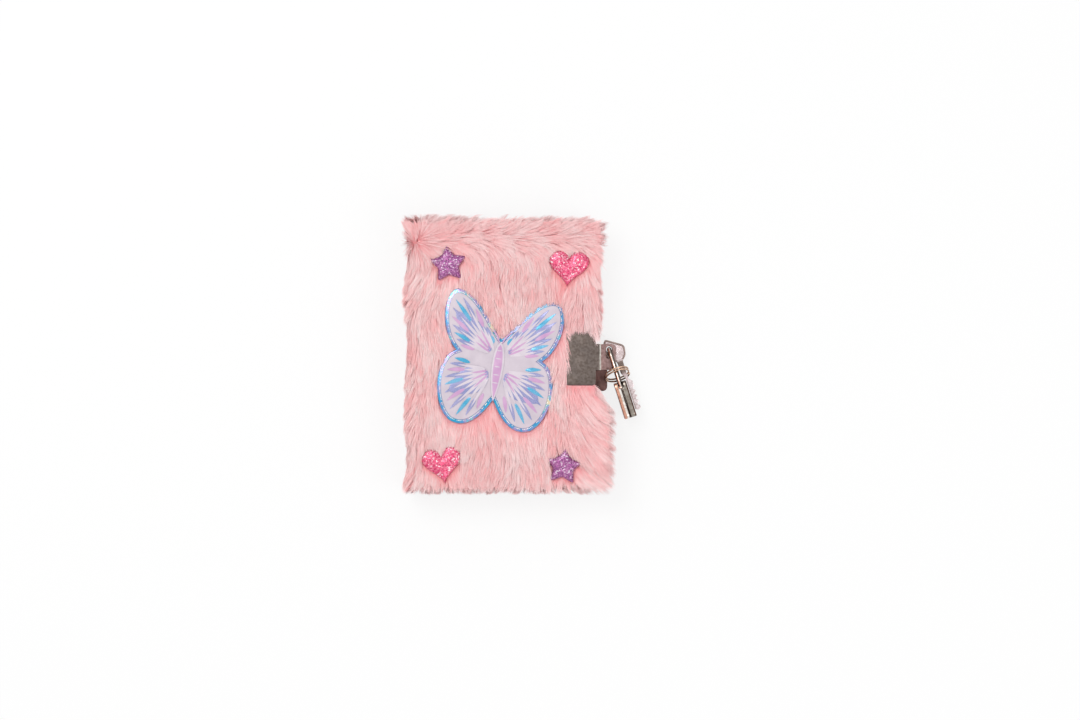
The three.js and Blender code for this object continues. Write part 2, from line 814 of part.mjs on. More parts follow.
function keyShape() {
  const points = [
    ...bowOutside,
    [bladeStart - shoulder, neckOuter, shoulder], [bladeStart + 2 * shoulder, bladeOuter, shoulder],
  ];
  for (let i = 0; i < toothCount; i += 1) {
    const u = teethStart + i * toothPitch;
    const [down, flat, up] = toothSteps;
    points.push([u, bladeOuter], [u + down, bladeOuter - toothDepth]);
    points.push([u + flat, bladeOuter - toothDepth], [u + up, bladeOuter]);
  }
  points.push(
    [keyLength - keyTip, bladeOuter, shoulder], [keyLength, (bladeInner + bladeOuter) / 2, keyTip],
    [keyLength - keyTip, bladeInner, shoulder], [bladeStart - 5 * shoulder, bladeInner, keyTip],
    [bladeStart - 11 * shoulder, neckInner, keyTip], ...bowInside,
  );
  return outline(points);
}

function key() {
  const { end, across } = bowHole;
  const hole = rectangle(
    -slotRadius, end + slotRadius, across - slotRadius, across + slotRadius, slotRadius,
  );
  return cut(
    slab(keyShape(), keyTop - keyThickness, keyTop),
    slab(hole, keyTop - 2 * keyThickness, keyTop + keyThickness),
  );
}

add('key', key(), nickel, padlock);
add('key_ring', tube(new Helix(), ringWire, ringSteps, ringSides)
  .rotateY(THREE.MathUtils.degToRad(-ringTilt)).translate(ringPlace, 0, 0), nickel, padlock);

export default journal;
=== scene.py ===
"""Looks of the plush journal: its fur, appliqués, pages, clips and padlock, with light and camera.

Lengths are metres in the journal's own frame: X to the fore-edge, Y to the head, Z up.
"""
import logging
import math
from collections.abc import Sequence
from dataclasses import dataclass, replace
from enum import Enum

import bmesh
import bpy
import numpy as np
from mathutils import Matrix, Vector
from mathutils.kdtree import KDTree


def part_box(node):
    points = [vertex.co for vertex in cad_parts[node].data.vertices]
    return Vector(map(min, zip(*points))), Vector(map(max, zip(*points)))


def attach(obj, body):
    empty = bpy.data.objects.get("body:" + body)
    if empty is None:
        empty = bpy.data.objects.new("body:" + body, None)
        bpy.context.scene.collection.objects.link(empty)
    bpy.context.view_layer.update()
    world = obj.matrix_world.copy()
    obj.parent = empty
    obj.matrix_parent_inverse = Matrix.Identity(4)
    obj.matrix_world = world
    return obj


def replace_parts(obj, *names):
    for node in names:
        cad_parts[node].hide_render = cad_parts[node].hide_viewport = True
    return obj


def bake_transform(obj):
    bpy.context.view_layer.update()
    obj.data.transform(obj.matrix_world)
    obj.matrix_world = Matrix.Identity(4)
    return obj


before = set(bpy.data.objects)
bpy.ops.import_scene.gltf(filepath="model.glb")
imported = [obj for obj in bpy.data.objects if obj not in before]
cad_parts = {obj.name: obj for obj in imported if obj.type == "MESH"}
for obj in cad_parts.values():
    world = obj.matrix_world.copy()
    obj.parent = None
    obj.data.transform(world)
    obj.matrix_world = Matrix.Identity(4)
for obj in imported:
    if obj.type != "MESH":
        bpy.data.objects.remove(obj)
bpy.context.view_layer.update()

log = logging.getLogger("journal")

Array = np.ndarray
Faces = list[tuple[int, ...]]
Cell = tuple[Array, Faces]
Point = tuple[float, float]
Placed = tuple[str, float, float, float]
Stops = Sequence[tuple[float, str]]
Socket = bpy.types.NodeSocket
Finish = bpy.types.Material
Mesh = bpy.types.Mesh
Piece = bpy.types.Object

MM = 0.001
WELD = 2e-6
HINGE_X = -47.325 * MM
BACK_HINGE_Z = 6 * MM
FRONT_HINGE_Z = 26.5 * MM
HEIGHT = 32.5 * MM
BOARD_HALF = 70 * MM
BOARD_END = 49.325 * MM


def linear(code: str) -> tuple[float, float, float, float]:
    """Gives a colour written as sRGB hex in linear RGBA.

    Args:
        code: Six hex digits, such as "f3bdbd".

    Returns:
        Red, green, blue and alpha from 0 to 1.
    """
    parts = [int(code[i : i + 2], 16) / 255 for i in (0, 2, 4)]
    r, g, b = (p / 12.92 if p <= 0.04045 else ((p + 0.055) / 1.055) ** 2.4 for p in parts)
    return r, g, b, 1.0


class Graph:
    """A material's node tree, with its Principled shader at the end.

    The Mix node's colour sockets come after those for numbers and vectors, so they are known by number.
    """

    mix_colours = (6, 7)
    mix_result = 2

    def __init__(self, name: str, roughness: float, metallic: float = 0.0) -> None:
        """Makes an empty material with one shader.

        Args:
            name: The material's name.
            roughness: The shader's roughness where nothing is linked.
            metallic: The shader's metallic value where nothing is linked.
        """
        self.material = bpy.data.materials.new(name)
        self.material.use_nodes = True
        self.tree = self.material.node_tree
        self.shader = next(n for n in self.tree.nodes if n.type == "BSDF_PRINCIPLED")
        self.uniform("Roughness", roughness)
        self.uniform("Metallic", metallic)

    def uniform(self, name: str, value: float) -> None:
        """Sets an input of the shader that is the same all over the surface."""
        self.shader.inputs[name].default_value = value

    def node(self, kind: str, **settings: object) -> bpy.types.Node:
        """Adds a node.

        Args:
            kind: The node's type without its ShaderNode prefix.
            **settings: Properties of the node, or values of the inputs with that name.

        Returns:
            The new node.
        """
        made = self.tree.nodes.new("ShaderNode" + kind)
        for key, value in settings.items():
            if hasattr(made, key):
                setattr(made, key, value)
            else:
                made.inputs[key.replace("_", " ").title()].default_value = value
        return made

    def link(self, source: Socket, target: Socket | str) -> None:
        """Links a socket to another, or to the shader's input of that name."""
        end = self.shader.inputs[target] if isinstance(target, str) else target
        self.tree.links.new(source, end)

    def place(self) -> Socket:
        """Gives the socket of the point's place in the piece."""
        return self.node("TexCoord").outputs["Object"]

    def axes(self, vector: Socket) -> bpy.types.bpy_prop_collection:
        """Splits a vector.

        Args:
            vector: The vector's socket.

        Returns:
            The sockets of its X, Y and Z.
        """
        split = self.node("SeparateXYZ")
        self.link(vector, split.inputs[0])
        return split.outputs

    def noise(self, scale: float, detail: float, place: Socket | None = None) -> Socket:
        """Adds noise over the piece.

        Args:
            scale: Features per metre.
            detail: Octaves.
            place: Where it is read, or None for the piece's own place.

        Returns:
            The socket of its value.
        """
        made = self.node("TexNoise", scale=scale, detail=detail)
        self.link(place or self.place(), made.inputs["Vector"])
        return made.outputs["Fac"]

    def ramp(self, source: Socket, stops: Stops, step: bool = False) -> Socket:
        """Adds a colour ramp.

        Args:
            source: The value that it reads.
            stops: Place and hex colour of each stop.
            step: Whether it jumps from colour to colour.

        Returns:
            The socket of its colour.
        """
        made = self.node("ValToRGB")
        band = made.color_ramp
        band.interpolation = "CONSTANT" if step else "LINEAR"
        while len(band.elements) < len(stops):
            band.elements.new(1.0)
        for element, (at, code) in zip(band.elements, stops):
            element.position = at
            element.color = linear(code)
        self.link(source, made.inputs[0])
        return made.outputs["Color"]

    def curve(
        self, source: Socket, low: float, high: float, to_low: float = 0.0, to_high: float = 1.0
    ) -> Socket:
        """Maps a value's range to another one, and holds it there.

        Args:
            source: The value.
            low: Lower end of its range.
            high: Upper end of its range.
            to_low: What the lower end becomes.
            to_high: What the upper end becomes.

        Returns:
            The socket of the new value.
        """
        made = self.node("MapRange", from_min=low, from_max=high, to_min=to_low, to_max=to_high)
        self.link(source, made.inputs["Value"])
        return made.outputs["Result"]

    def varied(self, noise: Socket, low: float = 0.0, high: float = 1.0) -> Socket:
        """Maps noise, most of which lies between 0.3 and 0.7, to a range from low to high."""
        return self.curve(noise, 0.3, 0.7, low, high)

    def math(self, kind: str, first: Socket, second: Socket | float = 0.5) -> Socket:
        """Adds a math node.

        Args:
            kind: The operation, such as "MULTIPLY".
            first: Its first value.
            second: Its second value, which an operation on one value doesn't read.

        Returns:
            The socket of the result.
        """
        made = self.node("Math", operation=kind)
        self.link(first, made.inputs[0])
        if isinstance(second, float):
            made.inputs[1].default_value = second
        else:
            self.link(second, made.inputs[1])
        return made.outputs[0]

    def mix(
        self, factor: Socket | float, first: Socket | str, second: Socket | str, blend: str = "MIX"
    ) -> Socket:
        """Mixes two colours.

        Args:
            factor: The share of the second one.
            first: A colour socket or a hex colour.
            second: A colour socket or a hex colour.
            blend: How they are mixed.

        Returns:
            The socket of the mixed colour.
        """
        made = self.node("Mix", data_type="RGBA", blend_type=blend)
        if isinstance(factor, float):
            made.inputs[0].default_value = factor
        else:
            self.link(factor, made.inputs[0])
        for number, value in zip(self.mix_colours, (first, second)):
            socket = made.inputs[number]
            if isinstance(value, str):
                socket.default_value = linear(value)
            else:
                self.link(value, socket)
        return made.outputs[self.mix_result]

    def bump(self, height: Socket, distance: float, strength: float = 1.0) -> None:
        """Raises the surface by a height map.

        Args:
            height: The map.
            distance: How high it reaches, in metres.
            strength: How much of that shows, from 0 to 1.
        """
        made = self.node("Bump", strength=strength, distance=distance)
        self.link(height, made.inputs["Height"])
        self.link(made.outputs["Normal"], "Normal")


@dataclass(frozen=True)
class FurPile:
    """Long pile, whose colour follows each strand's own shade and the place along it."""

    name: str = "fur pile"
    dark: tuple[str, str, str] = ("fd9a9f", "feb4b6", "fec8c8")
    light: tuple[str, str, str] = ("febcbd", "fedfde", "feeceb")

    def material(self) -> Finish:
        """Builds the material.

        Returns:
            The new material.
        """
        graph = Graph(self.name, 0.75)
        across, along, _ = graph.axes(graph.node("UVMap", uv_map="OFBake").outputs[0])
        # Each tone darkens towards the strand's root: painted shade deep in the pile.
        tones = [
            graph.ramp(along, [(0.0, low), (0.45, middle), (1.0, high)])
            for low, middle, high in (self.dark, self.light)
        ]
        graph.link(graph.mix(across, *tones), "Base Color")
        graph.uniform("Sheen Weight", 0.12)
        graph.uniform("Specular IOR Level", 0.25)
        return graph.material


@dataclass(frozen=True)
class FurBacking:
    """The knitted cloth that the pile grows from, with short underfur on it."""

    name: str = "fur backing"
    low: str = "fca4a7"
    high: str = "febebf"

    def material(self) -> Finish:
        """Builds the material.

        Returns:
            The new material.
        """
        graph = Graph(self.name, 0.95)
        tufts = graph.noise(900.0, 4.0)
        graph.link(graph.ramp(tufts, [(0.3, self.low), (0.7, self.high)]), "Base Color")
        graph.bump(tufts, 0.0006)
        graph.uniform("Sheen Weight", 0.3)
        return graph.material


@dataclass(frozen=True)
class Glitter:
    """Flakes of glitter below a clear skin: each cell has its own tone, tilt and shine."""

    name: str
    tones: Stops
    flake: float = 0.00062

    def material(self) -> Finish:
        """Builds the material.

        Returns:
            The new material.
        """
        graph = Graph(self.name, 0.3)
        cells = graph.node("TexVoronoi", scale=1 / self.flake, randomness=1.0)
        graph.link(graph.place(), cells.inputs["Vector"])
        red, green, blue = graph.axes(cells.outputs["Color"])
        graph.link(graph.ramp(red, self.tones, step=True), "Base Color")
        graph.link(graph.curve(green, 0.45, 0.75, 0.1, 0.85), "Metallic")
        graph.link(graph.curve(blue, 0.0, 1.0, 0.12, 0.45), "Roughness")
        graph.bump(graph.math("ADD", cells.outputs["Distance"], green), 0.00012, 0.8)
        graph.uniform("Coat Weight", 0.35)
        graph.uniform("Coat Roughness", 0.12)
        return graph.material


@dataclass(frozen=True)
class HoloFilm:
    """Iridescent film, whose hue drifts over the sheet."""

    name: str = "iridescent film"
    stops: Stops = (
        (0.0, "129fc8"),
        (0.3, "4795cc"),
        (0.5, "8590c4"),
        (0.68, "ad93c4"),
        (0.82, "4fb5d0"),
        (1.0, "e8d9b4"),
    )

    def material(self) -> Finish:
        """Builds the material.

        Returns:
            The new material.
        """
        graph = Graph(self.name, 0.16, 0.35)
        drift = graph.noise(70.0, 2.0)
        fine = graph.noise(420.0, 2.0)
        mixed = graph.math("ADD", graph.varied(drift), graph.varied(fine, -0.22, 0.22))
        graph.link(graph.ramp(mixed, self.stops), "Base Color")
        graph.bump(fine, 0.00005)
        graph.uniform("Coat Weight", 0.35)
        graph.uniform("Coat Roughness", 0.08)
        return graph.material


@dataclass(frozen=True)
class SatinPrint:
    """Printed satin film with fine brush marks."""

    name: str
    low: str
    high: str
    roughness: float = 0.42
    metallic: float = 0.0

    def material(self) -> Finish:
        """Builds the material.

        Returns:
            The new material.
        """
        graph = Graph(self.name, self.roughness, self.metallic)
        wash = graph.noise(160.0, 3.0)
        graph.link(graph.ramp(wash, [(0.35, self.low), (0.65, self.high)]), "Base Color")
        grain = graph.noise(2600.0, 2.0)
        graph.link(graph.varied(grain, self.roughness - 0.1, self.roughness + 0.12), "Roughness")
        graph.bump(grain, 0.00002)
        return graph.material


class Brushing(Enum):
    """Which way the fine marks on a metal run."""

    LENGTHWISE = (1.0, 0.06, 1.0)
    NONE = (1.0, 1.0, 1.0)


@dataclass(frozen=True)
class Bands:
    """Tones that follow each other along a direction on metal, in millimetres from a start; most are painted
    highlights and reflections.
    """

    along: tuple[float, float, float]
    start: float
    tones: Stops
    fade: float = 0.01

    def over(self, graph: Graph, plain: Socket) -> Socket:
        """Lays the bands over a plain colour, which stays before the first of them and after the last.

        Args:
            graph: The material's nodes.
            plain: The plain colour.

        Returns:
            The socket of the banded colour.
        """
        run = graph.node("VectorMath", operation="DOT_PRODUCT")
        graph.link(graph.place(), run.inputs[0])
        run.inputs[1].default_value = self.along
        first, last = self.tones[0][0], self.tones[-1][0]
        share = graph.curve(run.outputs["Value"], self.start + first * MM, self.start + last * MM)
        stops = [((at - first) / (last - first), tone) for at, tone in self.tones]
        begun = graph.curve(share, 0.0, self.fade)
        ended = graph.curve(share, 1 - self.fade, 1.0, 1.0, 0.0)
        return graph.mix(graph.math("MULTIPLY", begun, ended), plain, graph.ramp(share, stops))


@dataclass(frozen=True)
class PlatedMetal:
    """Plated sheet or wire with brush marks, smudges and duller spots, and painted highlights and
    reflections where it has bands.
    """

    name: str
    bright: str
    dull: str
    roughness: float
    brushing: Brushing = Brushing.NONE
    blotch: float = 160.0
    bands: Bands | None = None

    def material(self) -> Finish:
        """Builds the material.

        Returns:
            The new material.
        """
        graph = Graph(self.name, self.roughness, 1.0)
        blotches = graph.noise(self.blotch, 4.0)
        colour = graph.ramp(blotches, [(0.32, self.dull), (0.62, self.bright)])
        if self.bands is not None:
            colour = self.bands.over(graph, colour)
            spots = graph.ramp(graph.noise(700.0, 3.0), [(0.35, "c4bcb6"), (0.6, "ffffff")])
            colour = graph.mix(0.7, colour, spots, "MULTIPLY")
        graph.link(colour, "Base Color")
        stretch = graph.node("VectorMath", operation="MULTIPLY")
        graph.link(graph.place(), stretch.inputs[0])
        stretch.inputs[1].default_value = self.brushing.value
        marks = graph.noise(2400.0, 3.0, stretch.outputs[0])
        wear = graph.varied(marks, -0.08, 0.08)
        touch = graph.varied(blotches, 0.07, -0.05)
        graph.link(graph.math("ADD", graph.math("ADD", wear, touch), self.roughness), "Roughness")
        graph.bump(marks, 0.00003, 0.6)
        return graph.material


@dataclass(frozen=True)
class LeafPaper:
    """Uncoated paper, ruled or plain, with its ink's lines a pitch apart."""

    name: str
    colour: str
    ink: str
    pitch: float = 0.0065
    line_share: float = 0.035
    ruled_half: float = 0.0575
    ruled: bool = True

    def material(self) -> Finish:
        """Builds the material.

        Returns:
            The new material.
        """
        graph = Graph(self.name, 0.88)
        fibres = graph.noise(1500.0, 4.0)
        base = graph.mix(graph.varied(fibres, 0.0, 0.12), self.colour, self.ink)
        if self.ruled:
            y = graph.axes(graph.place())[1]
            # One metre more keeps the value above zero all over the leaf.
            above = graph.math("ADD", y, 1.0)
            wave = graph.math("FRACT", graph.math("DIVIDE", above, self.pitch))
            line = graph.math("LESS_THAN", wave, self.line_share)
            inside = graph.math("LESS_THAN", graph.math("ABSOLUTE", y), self.ruled_half)
            normal = graph.node("NewGeometry").outputs["Normal"]
            flat = graph.math("GREATER_THAN", graph.math("ABSOLUTE", graph.axes(normal)[2]), 0.5)
            shown = graph.math("MULTIPLY", graph.math("MULTIPLY", line, inside), flat)
            base = graph.mix(graph.math("MULTIPLY", shown, 0.8), base, self.ink)
        graph.link(base, "Base Color")
        graph.bump(fibres, 0.00003, 0.5)
        return graph.material


@dataclass(frozen=True)
class WovenCloth:
    """Plain weave of thin yarn."""

    name: str
    low: str
    high: str
    pitch: float = 0.0006

    def material(self) -> Finish:
        """Builds the material.

        Returns:
            The new material.
        """
        graph = Graph(self.name, 0.92)
        x, y, z = graph.axes(graph.place())
        turn = 2 * math.pi / self.pitch
        warp = graph.math("SINE", graph.math("MULTIPLY", y, turn))
        weft = graph.math("SINE", graph.math("MULTIPLY", graph.math("ADD", x, z), turn))
        weave = graph.math("MULTIPLY", warp, weft)
        shade = graph.curve(weave, -1.0, 1.0)
        graph.link(graph.ramp(shade, [(0.0, self.low), (1.0, self.high)]), "Base Color")
        graph.bump(weave, 0.00008)
        return graph.material


@dataclass(frozen=True)
class GreyBoard:
    """Pressed board with flecks of fibre."""

    name: str = "grey board"

    def material(self) -> Finish:
        """Builds the material.

        Returns:
            The new material.
        """
        graph = Graph(self.name, 0.9)
        flecks = graph.noise(1300.0, 5.0)
        graph.link(graph.ramp(flecks, [(0.35, "a2947f"), (0.6, "c3b6a2"), (0.75, "8d7f6c")]), "Base Color")
        graph.bump(flecks, 0.00006)
        return graph.material


class Outline:
    """A closed outline seen from above."""

    longest_mitre = 1.6
    batch = 20000

    def __init__(self, points: Array) -> None:
        """Keeps the corner points, anticlockwise, as rows of x and y."""
        self.points = np.asarray(points, float)

    def grown(self, distance: float) -> "Outline":
        """Moves the outline outwards.

        Args:
            distance: How far in metres, or negative to move it inwards.

        Returns:
            The new outline.
        """
        before = self.points - np.roll(self.points, 1, axis=0)
        after = np.roll(self.points, -1, axis=0) - self.points
        before /= np.linalg.norm(before, axis=1, keepdims=True)
        after /= np.linalg.norm(after, axis=1, keepdims=True)
        normal = np.stack([before[:, 1] + after[:, 1], -before[:, 0] - after[:, 0]], axis=1)
        normal /= np.linalg.norm(normal, axis=1, keepdims=True)
        mitre = np.sqrt(2 / (1 + (before * after).sum(axis=1).clip(-0.99)))
        return Outline(self.points + normal * distance * np.minimum(mitre, self.longest_mitre)[:, None])

    def resampled(self, count: int) -> "Outline":
        """Gives the same outline with points at even steps.

        Args:
            count: How many points.

        Returns:
            The new outline.
        """
        closed = np.vstack([self.points, self.points[:1]])
        steps = np.linalg.norm(np.diff(closed, axis=0), axis=1)
        run = np.concatenate([[0], np.cumsum(steps)])
        at = np.linspace(0, run[-1], count, endpoint=False)
        return Outline(np.stack([np.interp(at, run, closed[:, k]) for k in (0, 1)], axis=1))

    def depth(self, places: Array) -> Array:
        """Measures how deep places lie inside the outline, negative outside.

        Args:
            places: Rows of x and y.

        Returns:
            One depth in metres for each place.
        """
        start, end = self.points, np.roll(self.points, -1, axis=0)
        side = end - start
        found = np.empty(len(places))
        for first in range(0, len(places), self.batch):
            p = places[first : first + self.batch, None, :]
            along = (((p - start) * side).sum(-1) / (side**2).sum(-1)).clip(0, 1)
            near = np.sqrt((((start + along[..., None] * side) - p) ** 2).sum(-1)).min(axis=1)
            above = (start[:, 1] > p[..., 1]) != (end[:, 1] > p[..., 1])
            rise = np.where(np.abs(side[:, 1]) < 1e-12, 1e-12, side[:, 1])
            crossing = start[:, 0] + (p[..., 1] - start[:, 1]) / rise * side[:, 0]
            inside = (above & (p[..., 0] < crossing)).sum(axis=1) % 2 == 1
            found[first : first + self.batch] = np.where(inside, near, -near)
        return found


def turned(points: Array, x: float, y: float, turn: float) -> Array:
    """Turns points by an angle and moves them to (x, y)."""
    c, s = math.cos(turn), math.sin(turn)
    return points @ np.array([[c, s], [-s, c]]) + np.array([x, y])


def new_object(name: str, mesh: Mesh, finish: Finish, body: str | None = None) -> Piece:
    """Puts a mesh in the scene.

    Args:
        name: The piece's name.
        mesh: Its mesh.
        finish: Its material.
        body: The CAD body that it rides on, or None for none.

    Returns:
        The new piece.
    """
    piece = bpy.data.objects.new(name, mesh)
    bpy.context.scene.collection.objects.link(piece)
    mesh.materials.clear()
    mesh.materials.append(finish)
    if body:
        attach(piece, body)
    return piece


def mesh_of(name: str, vertices: Array, faces: Faces, smooth: float | None = 40.0) -> Mesh:
    """Makes a mesh, shaded smooth where faces meet at less than an angle.

    Args:
        name: The mesh's name.
        vertices: Rows of x, y and z.
        faces: Vertex numbers of each face.
        smooth: The angle in degrees, or None for flat faces.

    Returns:
        The new mesh.
    """
    mesh = bpy.data.meshes.new(name)
    mesh.from_pydata([tuple(v) for v in vertices], [], faces)
    mesh.update()
    if smooth is not None:
        mesh.shade_smooth()
        mesh.set_sharp_from_angle(angle=math.radians(smooth))
    return mesh


def refined(node: str, finish: Finish, bevel: float, body: str) -> Piece:
    """Replaces a hard CAD node by a copy with its edges rounded.

    Args:
        node: The CAD node's name.
        finish: The new piece's material.
        bevel: Width of the rounding in metres.
        body: The CAD body that it rides on.

    Returns:
        The new piece.
    """
    flat, edge, smooth = (math.radians(angle) for angle in (2, 50, 38))
    edit = bmesh.new()
    edit.from_mesh(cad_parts[node].data)
    bmesh.ops.remove_doubles(edit, verts=edit.verts, dist=WELD)
    bmesh.ops.dissolve_limit(edit, angle_limit=flat, verts=edit.verts, edges=edit.edges)
    sharp = [e for e in edit.edges if len(e.link_faces) == 2 and e.calc_face_angle(0) > edge]
    bmesh.ops.bevel(
        edit, geom=sharp, offset=bevel, segments=2, affect="EDGES", clamp_overlap=True, profile=0.6
    )
    bmesh.ops.triangulate(edit, faces=edit.faces)
    mesh = bpy.data.meshes.new(node + "_shape")
    edit.to_mesh(mesh)
    edit.free()
    mesh.shade_smooth()
    mesh.set_sharp_from_angle(angle=smooth)
    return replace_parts(new_object(node + "_shape", mesh, finish, body), node)


def walls(rings: int, n: int) -> Faces:
    """Gives the quads between rings of n vertices that follow each other."""
    pairs = [(ring * n + i, ring * n + (i + 1) % n) for ring in range(rings - 1) for i in range(n)]
    return [(a, b, b + n, a + n) for a, b in pairs]


def places_of(mesh: Mesh) -> Array:
    """Gives the places of a mesh's vertices."""
    return np.array([v.co[:] for v in mesh.vertices])


def reshape(mesh: Mesh, places: Array) -> None:
    """Moves a mesh's vertices to new places."""
    mesh.vertices.foreach_set("co", places.astype(np.float32).ravel())
    mesh.update()


@dataclass(frozen=True)
class Pile:
    """How one patch of fur grows. Lengths are metres.

    A lean tips the strands' shading upwards, and a spill turns it towards the way that they lie.
    """

    density: float
    length: float
    rise: float
    width: float = 0.00036
    lock_size: float = 0.0030
    lock_pull: float = 0.46
    stray: float = 0.000385
    lean: float = 0.0
    spill: float = 0.0


@dataclass
class Strands:
    """Roots of fur on a skin, with the way that each strand leans."""

    roots: Array
    normals: Array
    flow: Array
    length: Array
    rise: Array

    def chosen(self, keep: Array) -> "Strands":
        """Keeps only some of the strands."""
        return Strands(*(getattr(self, k)[keep] for k in ("roots", "normals", "flow", "length", "rise")))


def unit(vectors: Array) -> Array:
    """Scales rows of vectors to length one."""
    return vectors / np.maximum(np.linalg.norm(vectors, axis=-1, keepdims=True), 1e-9)


def waves(places: Array, seed: int, shortest: float, longest: float) -> Array:
    """Gives smooth random values near -1 to 1, from a few plane waves.

    Args:
        places: Rows of two coordinates.
        seed: Start of the random numbers.
        shortest: Length of the shortest wave in metres.
        longest: Length of the longest one.

    Returns:
        One value for each place.
    """
    rng = np.random.default_rng(seed)
    total = np.zeros(len(places))
    count = 7
    for _ in range(count):
        angle = rng.uniform(0, 2 * math.pi)
        length = rng.uniform(shortest, longest)
        wave = 2 * math.pi / length * np.array([math.cos(angle), math.sin(angle)])
        total += np.sin(places @ wave + rng.uniform(0, 2 * math.pi))
    return total / math.sqrt(count * 0.5) * 0.5


def combed(flow: Array, normals: Array) -> Array:
    """Lays the ways of strands along the skin, with a fifth of what they had across it."""
    return unit(flow - normals * (flow * normals).sum(axis=1, keepdims=True) * 0.8)


class FurGrower:
    """Grows ribbons of fur from a skin, in locks that lean together.

    A strand is a ribbon with points at five levels, and its taper gives its width at all but the tip. Its
    shade varies by patch, by lock and by itself. Its shading is mostly the skin's, so the pile looks soft.
    """

    levels = np.array([0.0, 0.3, 0.6, 0.84, 1.0])
    taper = np.array([0.8, 1.0, 0.85, 0.5])
    twist = 0.35
    own_shading = 0.10
    edge_tone = 0.006
    patch_tone = 0.2
    lock_tone = 0.17
    strand_tone = 0.12
    most_strands = 27000

    def __init__(self, pile: Pile, seed: int) -> None:
        """Keeps the pile's sizes and starts its own random numbers.

        Args:
            pile: How the fur grows.
            seed: Start of the random numbers.
        """
        self.pile = pile
        self.rng = np.random.default_rng(seed)
        self.seed = seed

    def scatter(self, skin: Mesh) -> tuple[Array, Array]:
        """Spreads roots over a skin, in proportion to the area of its faces.

        Args:
            skin: The mesh that the strands grow on.

        Returns:
            Places and normals of the roots.
        """
        skin.calc_loop_triangles()
        corners = np.array([[skin.vertices[i].co[:] for i in t.vertices] for t in skin.loop_triangles])
        cross = np.cross(corners[:, 1] - corners[:, 0], corners[:, 2] - corners[:, 0])
        area = np.linalg.norm(cross, axis=1) / 2
        count = int(area.sum() * self.pile.density)
        picked = self.rng.choice(len(area), count, p=area / area.sum())
        u, v = self.rng.random((2, count))
        over = u + v > 1
        u, v = np.where(over, 1 - u, u), np.where(over, 1 - v, v)
        base = corners[picked]
        places = base[:, 0] + u[:, None] * (base[:, 1] - base[:, 0]) + v[:, None] * (base[:, 2] - base[:, 0])
        return places, unit(cross)[picked]

    def paths(self, strands: Strands, levels: Array) -> Array:
        """Gives points along each strand before it is drawn into its lock.

        Args:
            strands: The strands.
            levels: Shares of the length, from 0 to 1.

        Returns:
            An array of strands by levels by three coordinates.
        """
        s = levels[None, :, None]
        up = strands.normals[:, None] * (strands.rise[:, None, None] * s * (2 - s))
        on = strands.flow[:, None] * (strands.length[:, None, None] * s**1.25)
        return strands.roots[:, None] + up + on

    def grow(
        self, name: str, strands: Strands, finish: Finish, body: str | None, limit: "Limit",
        blocked: "Blocked | None" = None, shade: float = 0.5,
    ) -> list[Piece]:
        """Makes the ribbons.

        Args:
            name: Name of the piece, which gets a number where it needs several.
            strands: The strands.
            finish: Their material.
            body: The CAD body that they ride on, or None for none.
            limit: The space that they stay in.
            blocked: What stands in their way, or None.
            shade: Mean shade from 0, dark, to 1, light.

        Returns:
            The new pieces.
        """
        if blocked is not None:
            strands = blocked.trimmed(self, strands)
        points = self.paths(strands, self.levels)
        tips = points[:, -1]
        locks = max(1, int(len(tips) / (self.pile.density * self.pile.lock_size**2)))
        leaders = self.rng.choice(len(tips), locks, replace=False)
        tree = KDTree(len(leaders))
        for number, leader in enumerate(leaders):
            tree.insert(strands.roots[leader], number)
        tree.balance()
        owner = leaders[[tree.find(root)[1] for root in strands.roots]]
        same = (strands.normals * strands.normals[owner]).sum(axis=1) > 0.4
        pull = self.pile.lock_pull * self.rng.uniform(0.55, 1.15, len(tips)) * same
        drawn = (tips[owner] - tips) * pull[:, None]
        stray = self.rng.normal(0, 1, (len(tips), 3)) * self.pile.stray
        s = self.levels[None, :, None]
        points = points + drawn[:, None] * s**1.6 + stray[:, None] * s**1.3
        points = limit.held(points)
        tone = shade + self.patch_tone * waves(strands.roots[:, :2], self.seed + 5, 0.012, 0.05)
        lock = np.searchsorted(np.sort(leaders), owner)
        tone = tone + self.lock_tone * self.rng.normal(0, 1, len(leaders))[lock]
        tone = tone + self.strand_tone * self.rng.normal(0, 1, len(tips))
        return self.ribbons(name, points, strands, tone.clip(0.03, 0.97), finish, body)

    def ribbons(
        self, name: str, points: Array, strands: Strands, tone: Array, finish: Finish, body: str | None
    ) -> list[Piece]:
        """Makes pieces of flat ribbons that end in a point, each of a size that exports whole.

        Args:
            name: Name of the piece, which gets a number where it needs several.
            points: Strands by levels by three coordinates.
            strands: The strands.
            tone: One shade for each strand, from 0 to 1.
            finish: Their material.
            body: The CAD body that they ride on, or None.

        Returns:
            The new pieces.
        """
        count = len(points)
        parts = max(1, math.ceil(count / self.most_strands))
        made = []
        for part in range(parts):
            chosen = slice(part * count // parts, (part + 1) * count // parts)
            label = name if parts == 1 else f"{name}_{part + 1}"
            mesh = self.ribbon_mesh(label, points[chosen], strands.chosen(chosen), tone[chosen])
            made.append(new_object(label, mesh, finish, body))
        log.info("%s: %d strands", name, count)
        return made

